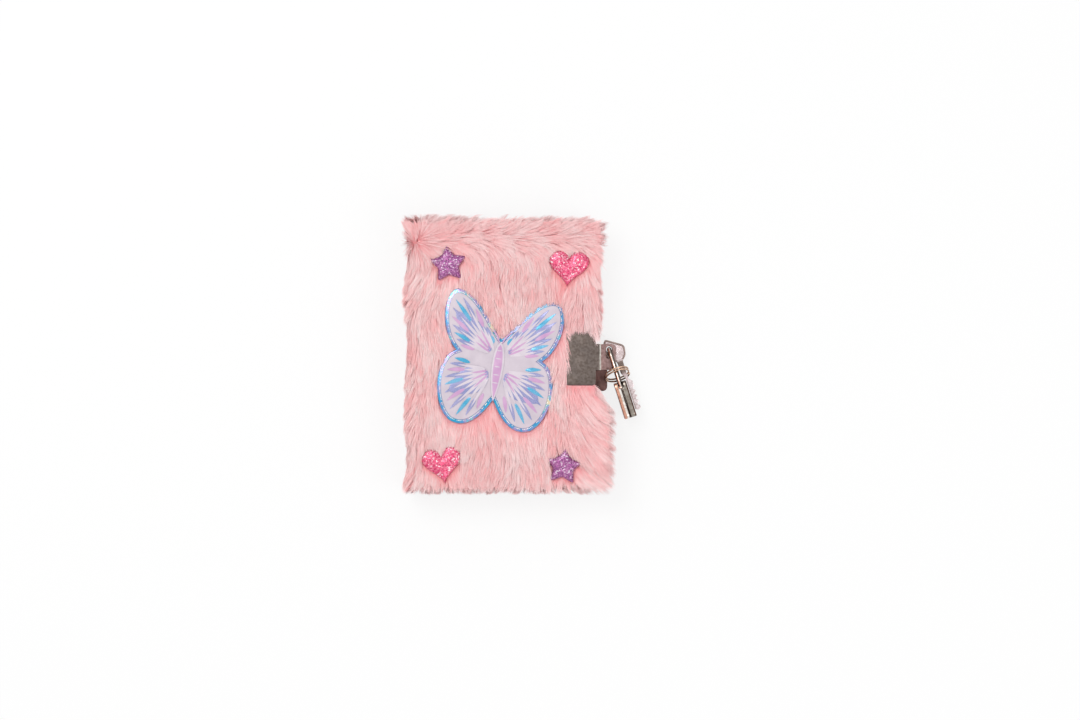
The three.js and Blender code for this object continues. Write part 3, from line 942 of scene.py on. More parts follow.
    def ribbon_mesh(self, name: str, points: Array, strands: Strands, tone: Array) -> Mesh:
        """Makes one mesh of ribbons, with each strand's shade and length in its UV map.

        Args:
            name: The mesh's name.
            points: Strands by levels by three coordinates.
            strands: The strands.
            tone: One shade for each strand.

        Returns:
            The new mesh.
        """
        count = len(points)
        tangent = unit(np.gradient(points, axis=1))
        over = self.pile.spill
        outward = strands.normals * (1 - over) + strands.flow * over
        outward = unit(outward + np.array([0, 0, self.pile.lean]))
        side = unit(np.cross(tangent, outward[:, None]))
        lift = np.cross(tangent, side)
        roll = self.rng.uniform(-self.twist, self.twist, count)[:, None, None]
        side = side * np.cos(roll) + lift * np.sin(roll)
        width = self.pile.width * self.rng.uniform(0.6, 1.3, count)[:, None] * self.taper
        offset = side[:, :4] * width[..., None] / 2
        pairs = np.stack([points[:, :4] - offset, points[:, :4] + offset], axis=2).reshape(count, 8, 3)
        vertices = np.concatenate([pairs, points[:, 4:]], axis=1).reshape(-1, 3)
        # Three quads and a triangle at the tip, by the numbers of a strand's nine vertices.
        corners = np.array([0, 1, 3, 2, 2, 3, 5, 4, 4, 5, 7, 6, 6, 7, 8])
        level = np.repeat(np.arange(len(self.levels)), 2)[:-1]
        loops = (corners[None] + len(level) * np.arange(count)[:, None]).reshape(-1)
        starts = (np.array([0, 4, 8, 12])[None] + len(corners) * np.arange(count)[:, None]).reshape(-1)
        along = self.levels[level][corners] * 0.98 + 0.01
        across = tone[:, None] + np.array([-1, 1] * 4 + [0])[corners] * self.edge_tone
        uv = np.stack([across, np.broadcast_to(along, across.shape)], axis=-1)
        mesh = bpy.data.meshes.new(name)
        mesh.vertices.add(len(vertices))
        mesh.loops.add(len(loops))
        mesh.polygons.add(len(starts))
        mesh.vertices.foreach_set("co", vertices.astype(np.float32).ravel())
        mesh.loops.foreach_set("vertex_index", loops.astype(np.int32))
        mesh.polygons.foreach_set("loop_start", starts.astype(np.int32))
        mesh.update(calc_edges=True)
        mesh.uv_layers.new(name="OFBake").uv.foreach_set("vector", uv.astype(np.float32).ravel())
        mesh.shade_smooth()
        facing = unit(np.cross(side, tangent))
        facing = unit(self.own_shading * facing + (1 - self.own_shading) * outward[:, None])
        facing = facing[:, level].reshape(-1, 3)
        mesh.normals_split_custom_set_from_vertices(facing.astype(np.float32))
        return mesh


@dataclass(frozen=True)
class Limit:
    """A box that strands stay in, pressed flat as they come near its sides."""

    low: tuple[float, float, float]
    high: tuple[float, float, float]
    soft: float = 0.0016

    def held(self, points: Array) -> Array:
        """Presses points back into the box.

        Args:
            points: An array whose last axis is x, y and z.

        Returns:
            The pressed points.
        """
        for sign, edge in ((1, self.high), (-1, self.low)):
            over = sign * (points - np.array(edge)) + self.soft
            pressed = self.soft * (1 - np.exp(-np.maximum(over, 0) / self.soft))
            points = np.where(over > 0, points + sign * (pressed - over), points)
        return points


@dataclass
class Blocked:
    """Pieces that stand in the fur's way, seen from above, each with how far strands lie over its edge."""

    pieces: list[tuple[Outline, float]]
    settle: float = 0.005

    def depth(self, places: Array, scaled: bool = False) -> Array:
        """Measures how deep places lie inside any of the pieces.

        Args:
            places: Rows of x and y.
            scaled: Whether the depth is given in times of the piece's own reach.

        Returns:
            One depth for each place, negative outside.
        """
        return np.max([o.depth(places) / (reach if scaled else 1.0) for o, reach in self.pieces], axis=0)

    def trimmed(self, grower: FurGrower, strands: Strands) -> Strands:
        """Drops strands that root below a piece, and cuts the others short over its edge.

        Args:
            grower: What grows them, for its paths and its random numbers.
            strands: The strands.

        Returns:
            The strands that are left.
        """
        near = self.depth(strands.roots[:, :2])
        strands.rise = strands.rise * (-near / self.settle).clip(0.5, 1)
        strands = strands.chosen(near < -0.1 * MM)
        levels = np.linspace(0.15, 1.0, 9)
        path = grower.paths(strands, levels)
        # A strand ends where it is deeper than its own share of the piece's reach.
        depths = self.depth(path[..., :2].reshape(-1, 2), scaled=True).reshape(len(path), -1)
        deep = depths > grower.rng.uniform(0.0, 1.5, len(path))[:, None]
        first = np.where(deep.any(axis=1), levels[deep.argmax(axis=1)], 1.0)
        strands.length = strands.length * first**1.1
        strands.rise = strands.rise * np.maximum(first, 0.75)
        return strands


@dataclass(frozen=True)
class Silhouette:
    """How far the pile stands out on each side of the journal, seen from above. Lengths are metres."""

    left: float = -0.0530
    right: float = 0.0532
    head: float = 0.0716
    tail: float = -0.0728
    half_height: float = 0.0747
    flare: float = 0.0050
    corner: float = 0.012
    wisp: float = 0.0021
    longest_wisp: float = 0.0060
    shortest: float = 0.0008
    flare_top: float = -0.013
    flare_foot: float = -0.0765
    flare_start: float = 0.026

    def drawn_in(self, inset: float) -> "Silhouette":
        """Gives the same silhouette, smaller by inset on every side."""
        return replace(
            self, left=self.left + inset, right=self.right - inset,
            head=self.head - inset, tail=self.tail + inset, wisp=self.wisp * 0.5,
        )

    def flare_at(self, y: Array) -> Array:
        """Gives the share of the lower fore-edge's flare at heights y."""
        return ((self.flare_top - y) / 0.016).clip(0, 1) * ((y - self.flare_foot) / 0.007).clip(0.25, 1)

    def flare_on(self, places: Array) -> Array:
        """Gives the share of the flare at places, none of it on the spine's side."""
        return self.flare_at(places[:, 1]) * ((places[:, 0] - self.flare_start) / 0.024).clip(0, 1)

    def capped(self, strands: Strands, rng: np.random.Generator) -> Strands:
        """Shortens strands that would leave the silhouette by more than a wisp.

        Args:
            strands: The strands.
            rng: Random numbers for the wisps.

        Returns:
            The same strands, some of them shorter.
        """
        x, y = strands.roots[:, 0], strands.roots[:, 1]
        spare = rng.exponential(self.wisp, len(x)).clip(0, self.longest_wisp)
        square = np.maximum(np.abs(y) - (self.half_height - self.corner), 0) / self.corner
        inset = self.corner * (1 - np.sqrt((1 - square**2).clip(0.02))) * 0.6
        right = self.right - inset + self.flare * self.flare_at(y) + spare
        left = self.left + inset - spare
        reach = np.full(len(x), 1.0)
        across, along = (np.where(np.abs(way) < 1e-3, 1e-3, way) for way in strands.flow.T[:2])
        sides = (
            (right, x, across), (left, x, across),
            (self.head + spare, y, along), (self.tail - spare, y, along),
        )
        for bound, start, way in sides:
            run = (bound - start) / way
            reach = np.where(run > 0, np.minimum(reach, run), reach)
        cut = np.minimum(1.0, np.maximum(reach, self.shortest) / strands.length)
        strands.length = strands.length * cut
        strands.rise = strands.rise * cut**0.4
        return strands


class Cover(Enum):
    """The two covers: name, the CAD body that each rides on, and the side that its fur faces."""

    BACK = ("back", "root", -1)
    FRONT = ("front", "front_cover", 1)


class Zone(Enum):
    """The zones of a cover's fur: name, start of the random numbers, and mean shade from 0 to 1.

    The face looks out of the cover, the rim is its edge, and the lip is the fold round the board.
    """

    # The rim and the lip are lighter than the face: painted light that makes up for the shade their strands
    # fall in.
    FACE = ("face", 11, 0.5)
    RIM = ("rim", 23, 0.68)
    LIP = ("lip", 31, 0.85)

    def holds(self, roots: Array, normals: Array, side: int) -> Array:
        """Tells which roots lie in the zone.

        Args:
            roots: Places of the roots.
            normals: Normals of the skin there.
            side: The side that the cover's fur faces.

        Returns:
            One truth value for each root.
        """
        x, y, margin = roots[:, 0], roots[:, 1], 0.4 * MM
        out = normals[:, 2] * side
        face = out > 0.75
        if self is Zone.FACE:
            return face
        outer = (np.abs(y) >= BOARD_HALF + margin) | (x >= BOARD_END + margin)
        if self is Zone.LIP:
            return (out < -0.5) & outer
        return ~face & (out > -0.5) & (x > HINGE_X + margin) & outer


@dataclass(frozen=True)
class Brush:
    """How the pile was brushed: down, out at the long sides, and turned over at the head."""

    head_start: float = 0.052
    head_run: float = 0.019
    head_turn: float = 2.15
    side_start: float = 0.040
    side_run: float = 0.012
    side_push: float = 0.5
    spine_push: float = 1.4

    def flow(self, places: Array, seed: int) -> Array:
        """Gives the way that the pile lies.

        Args:
            places: Places of the roots.
            seed: Start of the random numbers.

        Returns:
            One way for each root, with no part along Z.
        """
        flat = places[:, :2]
        x, y = flat[:, 0], flat[:, 1]
        sweep = ((y - self.head_start) / self.head_run).clip(0, 1)
        angle = 0.45 * waves(flat, seed, 0.02, 0.07) + 0.2 * waves(flat, seed + 1, 0.006, 0.014)
        turn = sweep * sweep * (3 - 2 * sweep)
        angle = angle + self.head_turn * turn
        flow = np.stack([np.sin(angle), -np.cos(angle)], axis=1)
        side = ((np.abs(x) - self.side_start) / self.side_run).clip(0, 1) * np.sign(x)
        flow[:, 0] += side * (self.side_push + self.spine_push * turn * (x < 0))
        return np.column_stack([flow, np.zeros(len(flow))])


def draw_in_ends(places: Array) -> None:
    """Halves how far places stand out past the board at the head and the tail."""
    over = np.abs(places[:, 1]) - (BOARD_HALF + 0.1 * MM)
    places[:, 1] -= np.sign(places[:, 1]) * np.where(over > 0, over * 0.5, 0)


@dataclass
class FurCase:
    """The fur of both covers, the spine and the two hinge corners."""

    pile: Finish
    backing: Finish
    top: Pile = Pile(density=5.4e6, length=0.0120, rise=0.0030, width=0.00028)
    rim: Pile = Pile(density=6.5e6, length=0.0080, rise=0.0022, width=0.00026, lean=0.6)
    fold: Pile = Pile(density=1.1e7, length=0.0080, rise=0.0022, width=0.00028)
    lip: Pile = Pile(density=2.2e6, length=0.0030, rise=0.0012, lean=1.2, spill=1.0)
    skin_share: float = 0.46
    pocket_floor: float = 2.9 * MM
    pocket_skin: float = 2.6 * MM
    back_inset: float = 1.6 * MM
    bend_reach: float = 4 * MM
    brush: Brush = Brush()
    silhouette: Silhouette = Silhouette()
    front_limit: Limit = Limit((-0.0580, -0.0790, 23.0 * MM), (0.0640, 0.0790, HEIGHT + 1.6 * MM))
    back_limit: Limit = Limit((-0.0580, -0.0790, 0.15 * MM), (0.0640, 0.0790, 8.9 * MM))
    spine_limit: Limit = Limit((-0.0572, -0.0790, 5.0 * MM), (-0.0440, 0.0790, 27.5 * MM))
    corner_limit: Limit = Limit((-0.0572, -0.0790, 0.15 * MM), (0.0, 0.0790, HEIGHT + 1.4 * MM))

    def skin_of(self, cover: Cover) -> Piece:
        """Makes a cover's backing: the CAD slab, drawn in to the height where the pile starts.

        Args:
            cover: The cover.

        Returns:
            The new piece.
        """
        name, body, side = cover.value
        node = f"{name}_plush"
        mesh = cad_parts[node].data.copy()
        co = places_of(mesh)
        bed = FRONT_HINGE_Z if cover is Cover.FRONT else BACK_HINGE_Z
        out = (co[:, 2] - bed) * side
        pocket = np.abs(out - self.pocket_floor) < 0.05 * MM
        out = np.where(out > 0, out * self.skin_share, out)
        out = np.where(pocket, self.pocket_skin, out)
        co[:, 2] = bed + side * out
        draw_in_ends(co)
        over = co[:, 0] - (BOARD_END + 0.1 * MM)
        co[:, 0] -= np.where(over > 0, over * 0.5, 0)
        reshape(mesh, co)
        mesh.shade_flat()
        piece = new_object(f"{name}_fur_backing", mesh, self.backing, body)
        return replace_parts(piece, node)

    def cover_fur(self, cover: Cover, blocked: Blocked) -> None:
        """Grows the fur of one cover.

        Args:
            cover: The cover.
            blocked: What stands in the fur's way.
        """
        name, body, side = cover.value
        skin = self.skin_of(cover).data
        silhouette, limit = self.silhouette, self.front_limit
        if cover is Cover.BACK:
            silhouette, limit = silhouette.drawn_in(self.back_inset), self.back_limit
        for zone, pile in ((Zone.FACE, self.top), (Zone.RIM, self.rim), (Zone.LIP, self.lip)):
            label, seed, shade = zone.value
            grower = FurGrower(pile, seed + 100 * (side + 1))
            roots, normals = grower.scatter(skin)
            keep = zone.holds(roots, normals, side)
            roots, normals = roots[keep], normals[keep]
            places = roots[:, :2]
            flow = self.brush.flow(roots, seed)
            if zone is not Zone.FACE:
                flow[:, :2] += normals[:, :2] * 0.6
                flow[:, 2] = 0.35 * waves(places, seed, 0.01, 0.04)
            flow = combed(flow, normals)
            patches = 1 + 0.12 * waves(places, seed + 3, 0.01, 0.03)
            size = grower.rng.uniform(0.7, 1.2, len(roots)) * patches
            flare = silhouette.flare_on(places)
            size = size * (1 + 0.55 * flare)
            flow[:, 0] += 0.9 * flare
            rise = pile.rise * grower.rng.uniform(0.55, 1.3, len(roots)) * (1 + 0.5 * flare)
            strands = Strands(roots, normals, unit(flow), pile.length * size, rise)
            strands = silhouette.capped(strands, grower.rng)
            grower.grow(f"{name}_{label}_fur", strands, self.pile, body, limit, blocked, shade)

    def fringe(
        self, grower: FurGrower, roots: Array, normals: Array, flow: Array, longer: float, flattest: float
    ) -> Strands:
        """Gives the strands of the spine or of a hinge corner.

        Args:
            grower: What grows them.
            roots: Places of the roots.
            normals: Normals of the skin there.
            flow: The way that each strand was brushed.
            longer: Their length in times of the rim's.
            flattest: The least that one rises, in times of the rim's.

        Returns:
            The strands.
        """
        count = len(roots)
        size = grower.rng.uniform(0.8, 1.3, count) * longer
        rise = self.rim.rise * grower.rng.uniform(flattest, 1.2, count)
        strands = Strands(roots, normals, combed(flow, normals), self.rim.length * size, rise)
        return self.silhouette.capped(strands, grower.rng)

    def spine_fur(self) -> None:
        """Makes the spine's backing and its fur."""
        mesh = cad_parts["spine_plush"].data.copy()
        co = places_of(mesh)
        over = HINGE_X - co[:, 0]
        co[:, 0] += np.where(over > 0, over * 0.5, 0)
        draw_in_ends(co)
        reshape(mesh, co)
        piece = new_object("spine_fur_backing", mesh, self.backing, "spine")
        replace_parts(piece, "spine_plush")
        grower = FurGrower(self.fold, 57)
        roots, normals = grower.scatter(mesh)
        keep = (np.abs(normals[:, 2]) < 0.5) & ((normals[:, 0] < -0.3) | (np.abs(normals[:, 1]) > 0.5))
        keep &= ~((np.abs(roots[:, 1]) < BOARD_HALF + 0.4 * MM) & (roots[:, 0] > HINGE_X - 0.5 * MM))
        roots, normals = roots[keep], normals[keep]
        flow = self.brush.flow(roots, Zone.FACE.value[1])
        flow[:, 2] = 0.45 * waves(roots[:, 1:], 58, 0.01, 0.05)
        strands = self.fringe(grower, roots, normals, flow, 1.25, 0.6)
        grower.grow("spine_fur", strands, self.pile, "spine", self.spine_limit)

    def corner_fur(self, node: str, hinge_z: float, up: int) -> None:
        """Makes the backing and the fur of one hinge corner.

        Args:
            node: The CAD node of the corner.
            hinge_z: Height of the hinge.
            up: 1 for the upper corner, -1 for the lower one.
        """
        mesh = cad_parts[node].data.copy()
        co = places_of(mesh)
        axis = np.array([HINGE_X, 0, hinge_z])
        co[:, [0, 2]] = axis[[0, 2]] + (co[:, [0, 2]] - axis[[0, 2]]) * 0.5
        co[:, 1] *= 0.985
        reshape(mesh, co)
        backing = new_object(node.replace("plush", "backing"), mesh, self.backing)
        grower = FurGrower(self.fold, 71 + up)
        roots, normals = grower.scatter(mesh)
        keep = ((roots - axis) * normals)[:, [0, 2]].sum(axis=1) > 1.5 * MM
        keep |= np.abs(normals[:, 1]) > 0.7
        roots, normals = roots[keep], normals[keep]
        flow = self.brush.flow(roots, Zone.FACE.value[1]) + 0.3 * normals
        strands = self.fringe(grower, roots, normals, flow, 1.3, 0.7)
        fur = grower.grow(node.replace("plush", "fur"), strands, self.pile, None, self.corner_limit)
        for piece in [backing, *fur]:
            if up > 0:
                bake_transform(piece)
            else:
                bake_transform(piece)
        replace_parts(backing, node)


class WingCell(Enum):
    """The kinds of printed cell, each with the name of the piece that holds its cells."""

    PERIWINKLE = "wing_cells"
    LILAC = "wing_marks"
    CYAN = "wing_glints"
    PEARL = "wing_feathers"


@dataclass
class Appliques:
    """The padded stars and hearts, and the patch of film and print, on the front cover.

    A star or heart is placed by the x and y of its centre and its turn, and so is the patch. The wing's
    points are those of four curves from the head to the tail, in units of the patch's size.
    """

    bottom: float = 29.5 * MM
    film_top: float = 31.1 * MM
    print_bottom: float = 31.15 * MM
    print_top: float = 32.25 * MM
    print_inset: float = 2.1 * MM
    cell_level: float = 32.24 * MM
    cell_step: float = 0.0035 * MM
    bead_level: float = 31.08 * MM
    puff: float = 3.3 * MM
    edge_share: float = 0.30
    pad_points: int = 150
    pad_rings: int = 15
    star_radius: float = 11.2 * MM
    star_waist: float = 0.54
    heart_width: float = 22.4 * MM
    stars: tuple[Placed, ...] = (
        ("star_upper", -0.0302, 0.0500, 0.1),
        ("star_lower", 0.0339, -0.0622, -0.12),
    )
    hearts: tuple[Placed, ...] = (
        ("heart_upper", 0.0366, 0.0477, -0.08),
        ("heart_lower", -0.0334, -0.0614, 0.15),
    )
    patch: tuple[float, float, float] = (-0.0026, -0.0060, -0.14)
    patch_size: tuple[float, float] = (66.4 / 69.3 * MM, 74 / 72.3 * MM)
    wing: tuple[tuple[float, float], ...] = (
        (0, 14), (6, 19), (17, 39), (29, 38), (38, 36), (36, 13), (25, 5),
        (37, 1), (36, -25), (24, -33), (13, -38), (5, -28), (0, -19),
    )

    def star_outline(self) -> Array:
        """Gives a star's outline with rounded corners, round its own centre.

        Returns:
            Rows of x and y, anticlockwise.
        """
        corners = []
        for i in range(10):
            angle = math.pi / 2 + i * math.pi / 5
            radius = self.star_radius * (1 if i % 2 == 0 else self.star_waist)
            corners.append((radius * math.cos(angle), radius * math.sin(angle)))
        corners = np.array(corners)
        points = []
        for i in range(10):
            corner = corners[i]
            reach = (2.0 if i % 2 == 0 else 1.2) * MM
            enter = corner + unit(corners[i - 1] - corner) * reach
            leave = corner + unit(corners[(i + 1) % 10] - corner) * reach
            for t in np.linspace(0, 1, 5):
                points.append((1 - t) ** 2 * enter + 2 * t * (1 - t) * corner + t * t * leave)
        return np.array(points)

    def heart_outline(self) -> Array:
        """Gives a heart's outline, round its own centre.

        Returns:
            Rows of x and y, anticlockwise.
        """
        count, own_width = 60, 32
        t = math.pi - (np.arange(count) + 0.5) / count * 2 * math.pi
        x = 16 * np.sin(t) ** 3
        y = 13 * np.cos(t) - 5 * np.cos(2 * t) - 2 * np.cos(3 * t) - np.cos(4 * t) + 2
        return np.stack([x, y], axis=1) * self.heart_width / own_width

    def patch_outline(self) -> Array:
        """Gives the butterfly's outline, round its own centre.

        Returns:
            Rows of x and y, anticlockwise.
        """
        wing = np.array(self.wing, float)
        half = [wing[0]]
        for k in range(0, 12, 3):
            for t in np.linspace(0, 1, 19)[1:]:
                a, b, c, d = wing[k : k + 4]
                half.append((1 - t) ** 3 * a + 3 * (1 - t) ** 2 * t * b + 3 * (1 - t) * t * t * c + t**3 * d)
        right = np.array(half) * np.array(self.patch_size)
        left = right[1:-1][::-1] * np.array([-1, 1])
        return np.concatenate([right, left])[::-1]

    def outlines(self) -> list[Outline]:
        """Gives the outlines of all five pieces in their places.

        Returns:
            The stars, the hearts and the patch.
        """
        found = [Outline(turned(self.star_outline(), *place[1:])) for place in self.stars]
        found += [Outline(turned(self.heart_outline(), *place[1:])) for place in self.hearts]
        return found + [Outline(turned(self.patch_outline(), *self.patch))]

    def pillow(self, name: str, outline: Outline, centre: Point, round_over: float) -> Mesh:
        """Makes a puffed pad on an outline.

        Args:
            name: The mesh's name.
            outline: Its outline.
            centre: The middle that its rings close in on.
            round_over: How far in from the edge the pad still rises, in metres.

        Returns:
            The mesh.
        """
        edge = outline.resampled(self.pad_points).points
        middle = np.array(centre)
        shares = np.concatenate([1 - np.linspace(0, 1, self.pad_rings)[:-1] ** 1.4 * 0.98, [0.02]])
        rings = [middle + (edge - middle) * share for share in shares]
        flat = np.concatenate(rings)
        depth = outline.depth(flat).clip(0, round_over) / round_over
        crown = np.sqrt(1 - (1 - depth) ** 2)
        height = self.puff * (self.edge_share + (1 - self.edge_share) * crown)
        lumps = 0.05 * MM * waves(flat, 5, 0.0015, 0.004)
        top = np.column_stack([flat, self.bottom + height + lumps * (depth > 0.3)])
        base = np.column_stack([edge, np.full(len(edge), self.bottom)])
        vertices = np.concatenate([top, base, [[*middle, top[-1, 2]]]])
        n = len(edge)
        faces = walls(len(shares), n)
        last, centre_vertex = (len(shares) - 1) * n, len(vertices) - 1
        faces += [(last + i, last + (i + 1) % n, centre_vertex) for i in range(n)]
        faces += [(len(flat) + i, len(flat) + (i + 1) % n, (i + 1) % n, i) for i in range(n)]
        faces.append(tuple(len(flat) + i for i in reversed(range(n))))
        return mesh_of(name, vertices, faces, 60)

    def plaque(self, name: str, outline: Outline, z0: float, z1: float, rounding: float) -> Mesh:
        """Makes a flat piece on an outline, with its upper edge rounded.

        Args:
            name: The mesh's name.
            outline: Its outline.
            z0: Height of its lower face.
            z1: Height of its upper face.
            rounding: Radius of the edge in metres.

        Returns:
            The mesh.
        """
        rings = [(0.0, z0), (0.0, z1 - rounding)]
        for a in (0.5, 1.0, math.pi / 2):
            rings.append((rounding * (1 - math.cos(a)), z1 - rounding + rounding * math.sin(a)))
        n = len(outline.points)
        levels = [np.column_stack([outline.grown(-inset).points, np.full(n, z)]) for inset, z in rings]
        vertices = np.concatenate(levels)
        faces = walls(len(rings), n)
        faces.append(tuple(range(n))[::-1])
        faces.append(tuple(len(vertices) - n + i for i in range(n)))
        mesh = mesh_of(name, vertices, faces, 50)
        edit = bmesh.new()
        edit.from_mesh(mesh)
        bmesh.ops.triangulate(edit, faces=[f for f in edit.faces if len(f.verts) > 4])
        edit.to_mesh(mesh)
        edit.free()
        return mesh

    def build(self) -> None:
        """Builds the stars, the hearts and the patch."""
        purple = Glitter("purple glitter", (
            (0.0, "97508a"), (0.3, "a96298"), (0.52, "823c7a"),
            (0.68, "bb80ac"), (0.84, "682c60"), (0.91, "dec6d8"),
        )).material()
        pink = Glitter("pink glitter", (
            (0.0, "df5077"), (0.3, "e86a8b"), (0.52, "cf3566"),
            (0.68, "ed8ca2"), (0.84, "b72855"), (0.91, "f8d6dc"),
        )).material()
        star_edge, heart_edge = 3.4 * MM, 5.5 * MM
        for (name, *place), shape, edge, finish, slot in (
            *((s, self.star_outline(), star_edge, purple, "purple_glitter") for s in self.stars),
            *((h, self.heart_outline(), heart_edge, pink, "pink_glitter") for h in self.hearts),
        ):
            outline = Outline(turned(shape, *place))
            mesh = self.pillow(name, outline, place[:2], edge)
            piece = new_object(name + "_pad", mesh, finish, "front_cover")
            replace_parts(piece, name)
            log.info("%s", name)
        self.build_patch()

    def build_patch(self) -> None:
        """Builds the film, the print on it and the cells of the wings."""
        film = HoloFilm().material()
        outline = Outline(turned(self.patch_outline(), *self.patch))
        mesh = self.plaque("film", outline, self.bottom, self.film_top, 0.5 * MM)
        base = new_object("patch_film_sheet", mesh, film, "front_cover")
        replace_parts(base, "patch_film")
        pearl = SatinPrint("pearl print", "c8bcc7", "d2c6d0").material()
        inner = outline.grown(-self.print_inset)
        mesh = self.plaque("print", inner, self.print_bottom, self.print_top, 0.45 * MM)
        face = new_object("patch_print_sheet", mesh, pearl, "front_cover")
        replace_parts(face, "patch_print")
        self.build_cells(inner)

    def petal(self, start: Array, end: Array, width: float, z: float, bend: float) -> Cell:
        """Gives a leaf-shaped cell, a little proud of the print.

        Args:
            start: Where it starts, as x and y.
            end: Where it ends.
            width: Its greatest width in metres.
            z: Height of its rim.
            bend: How far its middle lies off the straight line, to the left.

        Returns:
            Its vertices and faces.
        """
        along = end - start
        across = np.array([-along[1], along[0]]) / np.linalg.norm(along)
        t = np.linspace(0, 1, 15)
        middle = start + along * t[:, None] + across * (bend * np.sin(math.pi * t))[:, None]
        half = width / 2 * np.sin(math.pi * t**0.75)[:, None] ** 0.8
        loop = np.concatenate([middle - across * half, (middle + across * half)[::-1][1:-1]])
        n = len(loop)
        rim = np.column_stack([loop, np.full(n, z)])
        inside = np.column_stack([loop + (loop.mean(axis=0) - loop) * 0.05, np.full(n, z + 0.05 * MM)])
        faces = [*walls(2, n), tuple(range(n, 2 * n))]
        return np.concatenate([rim, inside]), faces

    def build_cells(self, face: Outline) -> None:
        """Fans cells out over each wing, as long as the wing is wide there, and adds the body.

        Args:
            face: The print's outline.
        """
        groups: dict[WingCell, list[Cell]] = {kind: [] for kind in WingCell}

        def add(kind: WingCell, first: Array, last: Array, width: float, bend: float = 0.0) -> None:
            """Adds one cell, a little higher than the one before it.

            Args:
                kind: Its kind.
                first: Where it starts, in metres from the patch's centre.
                last: Where it ends.
                width: Its width in millimetres.
                bend: Its bend in millimetres.
            """
            level = self.cell_level + self.cell_step * sum(len(g) for g in groups.values())
            ends = turned(np.array([first, last]), *self.patch)
            groups[kind].append(self.petal(*ends, width * MM, level, bend * MM))

        def line(kind: WingCell, start: Point, end: Point, width: float, bend: float = 0.0) -> None:
            """Adds one cell between two points in millimetres."""
            add(kind, np.array(start) * MM, np.array(end) * MM, width, bend)

        periwinkle, lilac, cyan, pearl = WingCell
        # A fan is its root in millimetres, its main way and half its spread in degrees, and its width.
        fans = (
            ((2.0, 4.5), 41, 31, 12.5),
            ((2.0, -3.0), -33, 42, 15.0),
        )
        for mirror in (1, -1):
            for root, main, fan, width in fans:
                foot = np.array(root) * MM * np.array([mirror, 1])
                angles = np.radians(main + np.linspace(-fan, fan, 11))
                rays = [np.array([math.cos(a) * mirror, math.sin(a)]) for a in angles]
                ways = [self.reach(face, foot, ray) - foot for ray in rays]
                add(periwinkle, foot + ways[5] * 0.1, foot + ways[5] * 0.9, width)
                for number, way in enumerate(ways):
                    kind = (lilac, periwinkle, cyan, periwinkle)[number % 4]
                    add(kind, foot + way * 0.58, foot + way * 0.97, 2.2, 0.2 * mirror)
                for number in range(1, 10):
                    far = 0.80 if number % 2 else 0.62
                    add(pearl, foot + ways[number] * 0.16, foot + ways[number] * far, 1.7)
                for number in (3, 5, 7):
                    add(lilac, foot + ways[number] * 0.12, foot + ways[number] * 0.45, 1.2)
        line(pearl, (0, 13.0), (0, -20.5), 6.6)
        line(lilac, (0, 12.2), (0, -19.5), 4.8)
        for y in (7.5, 3.0, -1.5, -6.0, -10.5):
            line(pearl, (-1.7, y + 0.4), (1.7, y + 0.4), 0.7)
        for side in (1, -1):
            line(lilac, (0.6 * side, 11.5), (7.4 * side, 20.0), 0.8, 1.2 * side)
        finishes = {
            periwinkle: SatinPrint("periwinkle foil", "8a90bd", "a09fc6", 0.28, 0.3),
            lilac: SatinPrint("lilac print", "c596c2", "d0a6cb", 0.4),
            cyan: SatinPrint("cyan foil", "48a6cc", "78b4d6", 0.24, 0.3),
            pearl: SatinPrint("pearl feather", "d0c5d0", "dacfd8", 0.4),
        }
        for kind, petals in groups.items():
            self.join(kind.value, petals, finishes[kind].material())
        self.build_sparkle(face)
        log.info("patch")

    def reach(self, face: Outline, foot: Array, ray: Array) -> Array:
        """Goes out along a ray to the last point that is well inside the print.

        Args:
            face: The print's outline.
            foot: Where the ray starts, from the patch's centre.
            ray: The way that it goes.

        Returns:
            That point, from the patch's centre.
        """
        path = np.linspace(1, 50, 150)[:, None] * MM * ray + foot
        inside = face.depth(turned(path, *self.patch)) > 1.0 * MM
        return path[np.argmin(inside) - 1] if not inside.all() else path[-1]

    def join(self, name: str, parts: list[Cell], finish: Finish) -> None:
        """Puts many small parts of the print in one piece.

        Args:
            name: The piece's name.
            parts: Vertices and faces of each part.
            finish: The piece's material.
        """
        vertices, faces, count = [], [], 0
        for points, loops in parts:
            vertices.append(points)
            faces += [tuple(i + count for i in loop) for loop in loops]
            count += len(points)
        mesh = mesh_of(name, np.concatenate(vertices), faces, 30)
        new_object(name, mesh, finish, "front_cover")

    def build_sparkle(self, face: Outline) -> None:
        """Sets a row of small bright beads on the film, along the edge of the print.

        Args:
            face: The print's outline.
        """
        rng = np.random.default_rng(8)
        line = face.grown(0.55 * MM).resampled(330).points
        ahead = unit(np.roll(line, -1, axis=0) - line)
        parts = []
        for place, way in zip(line, ahead):
            if rng.random() < 0.25:
                continue
            size = rng.uniform(0.22, 0.42) * MM
            half = way * size * rng.uniform(0.8, 1.4)
            parts.append(self.petal(place - half, place + half, size * 1.5, self.bead_level, 0.0))
        self.join("film_sparkle", parts, SatinPrint("sparkle", "fff4dc", "ffffff", 0.2, 0.2).material())


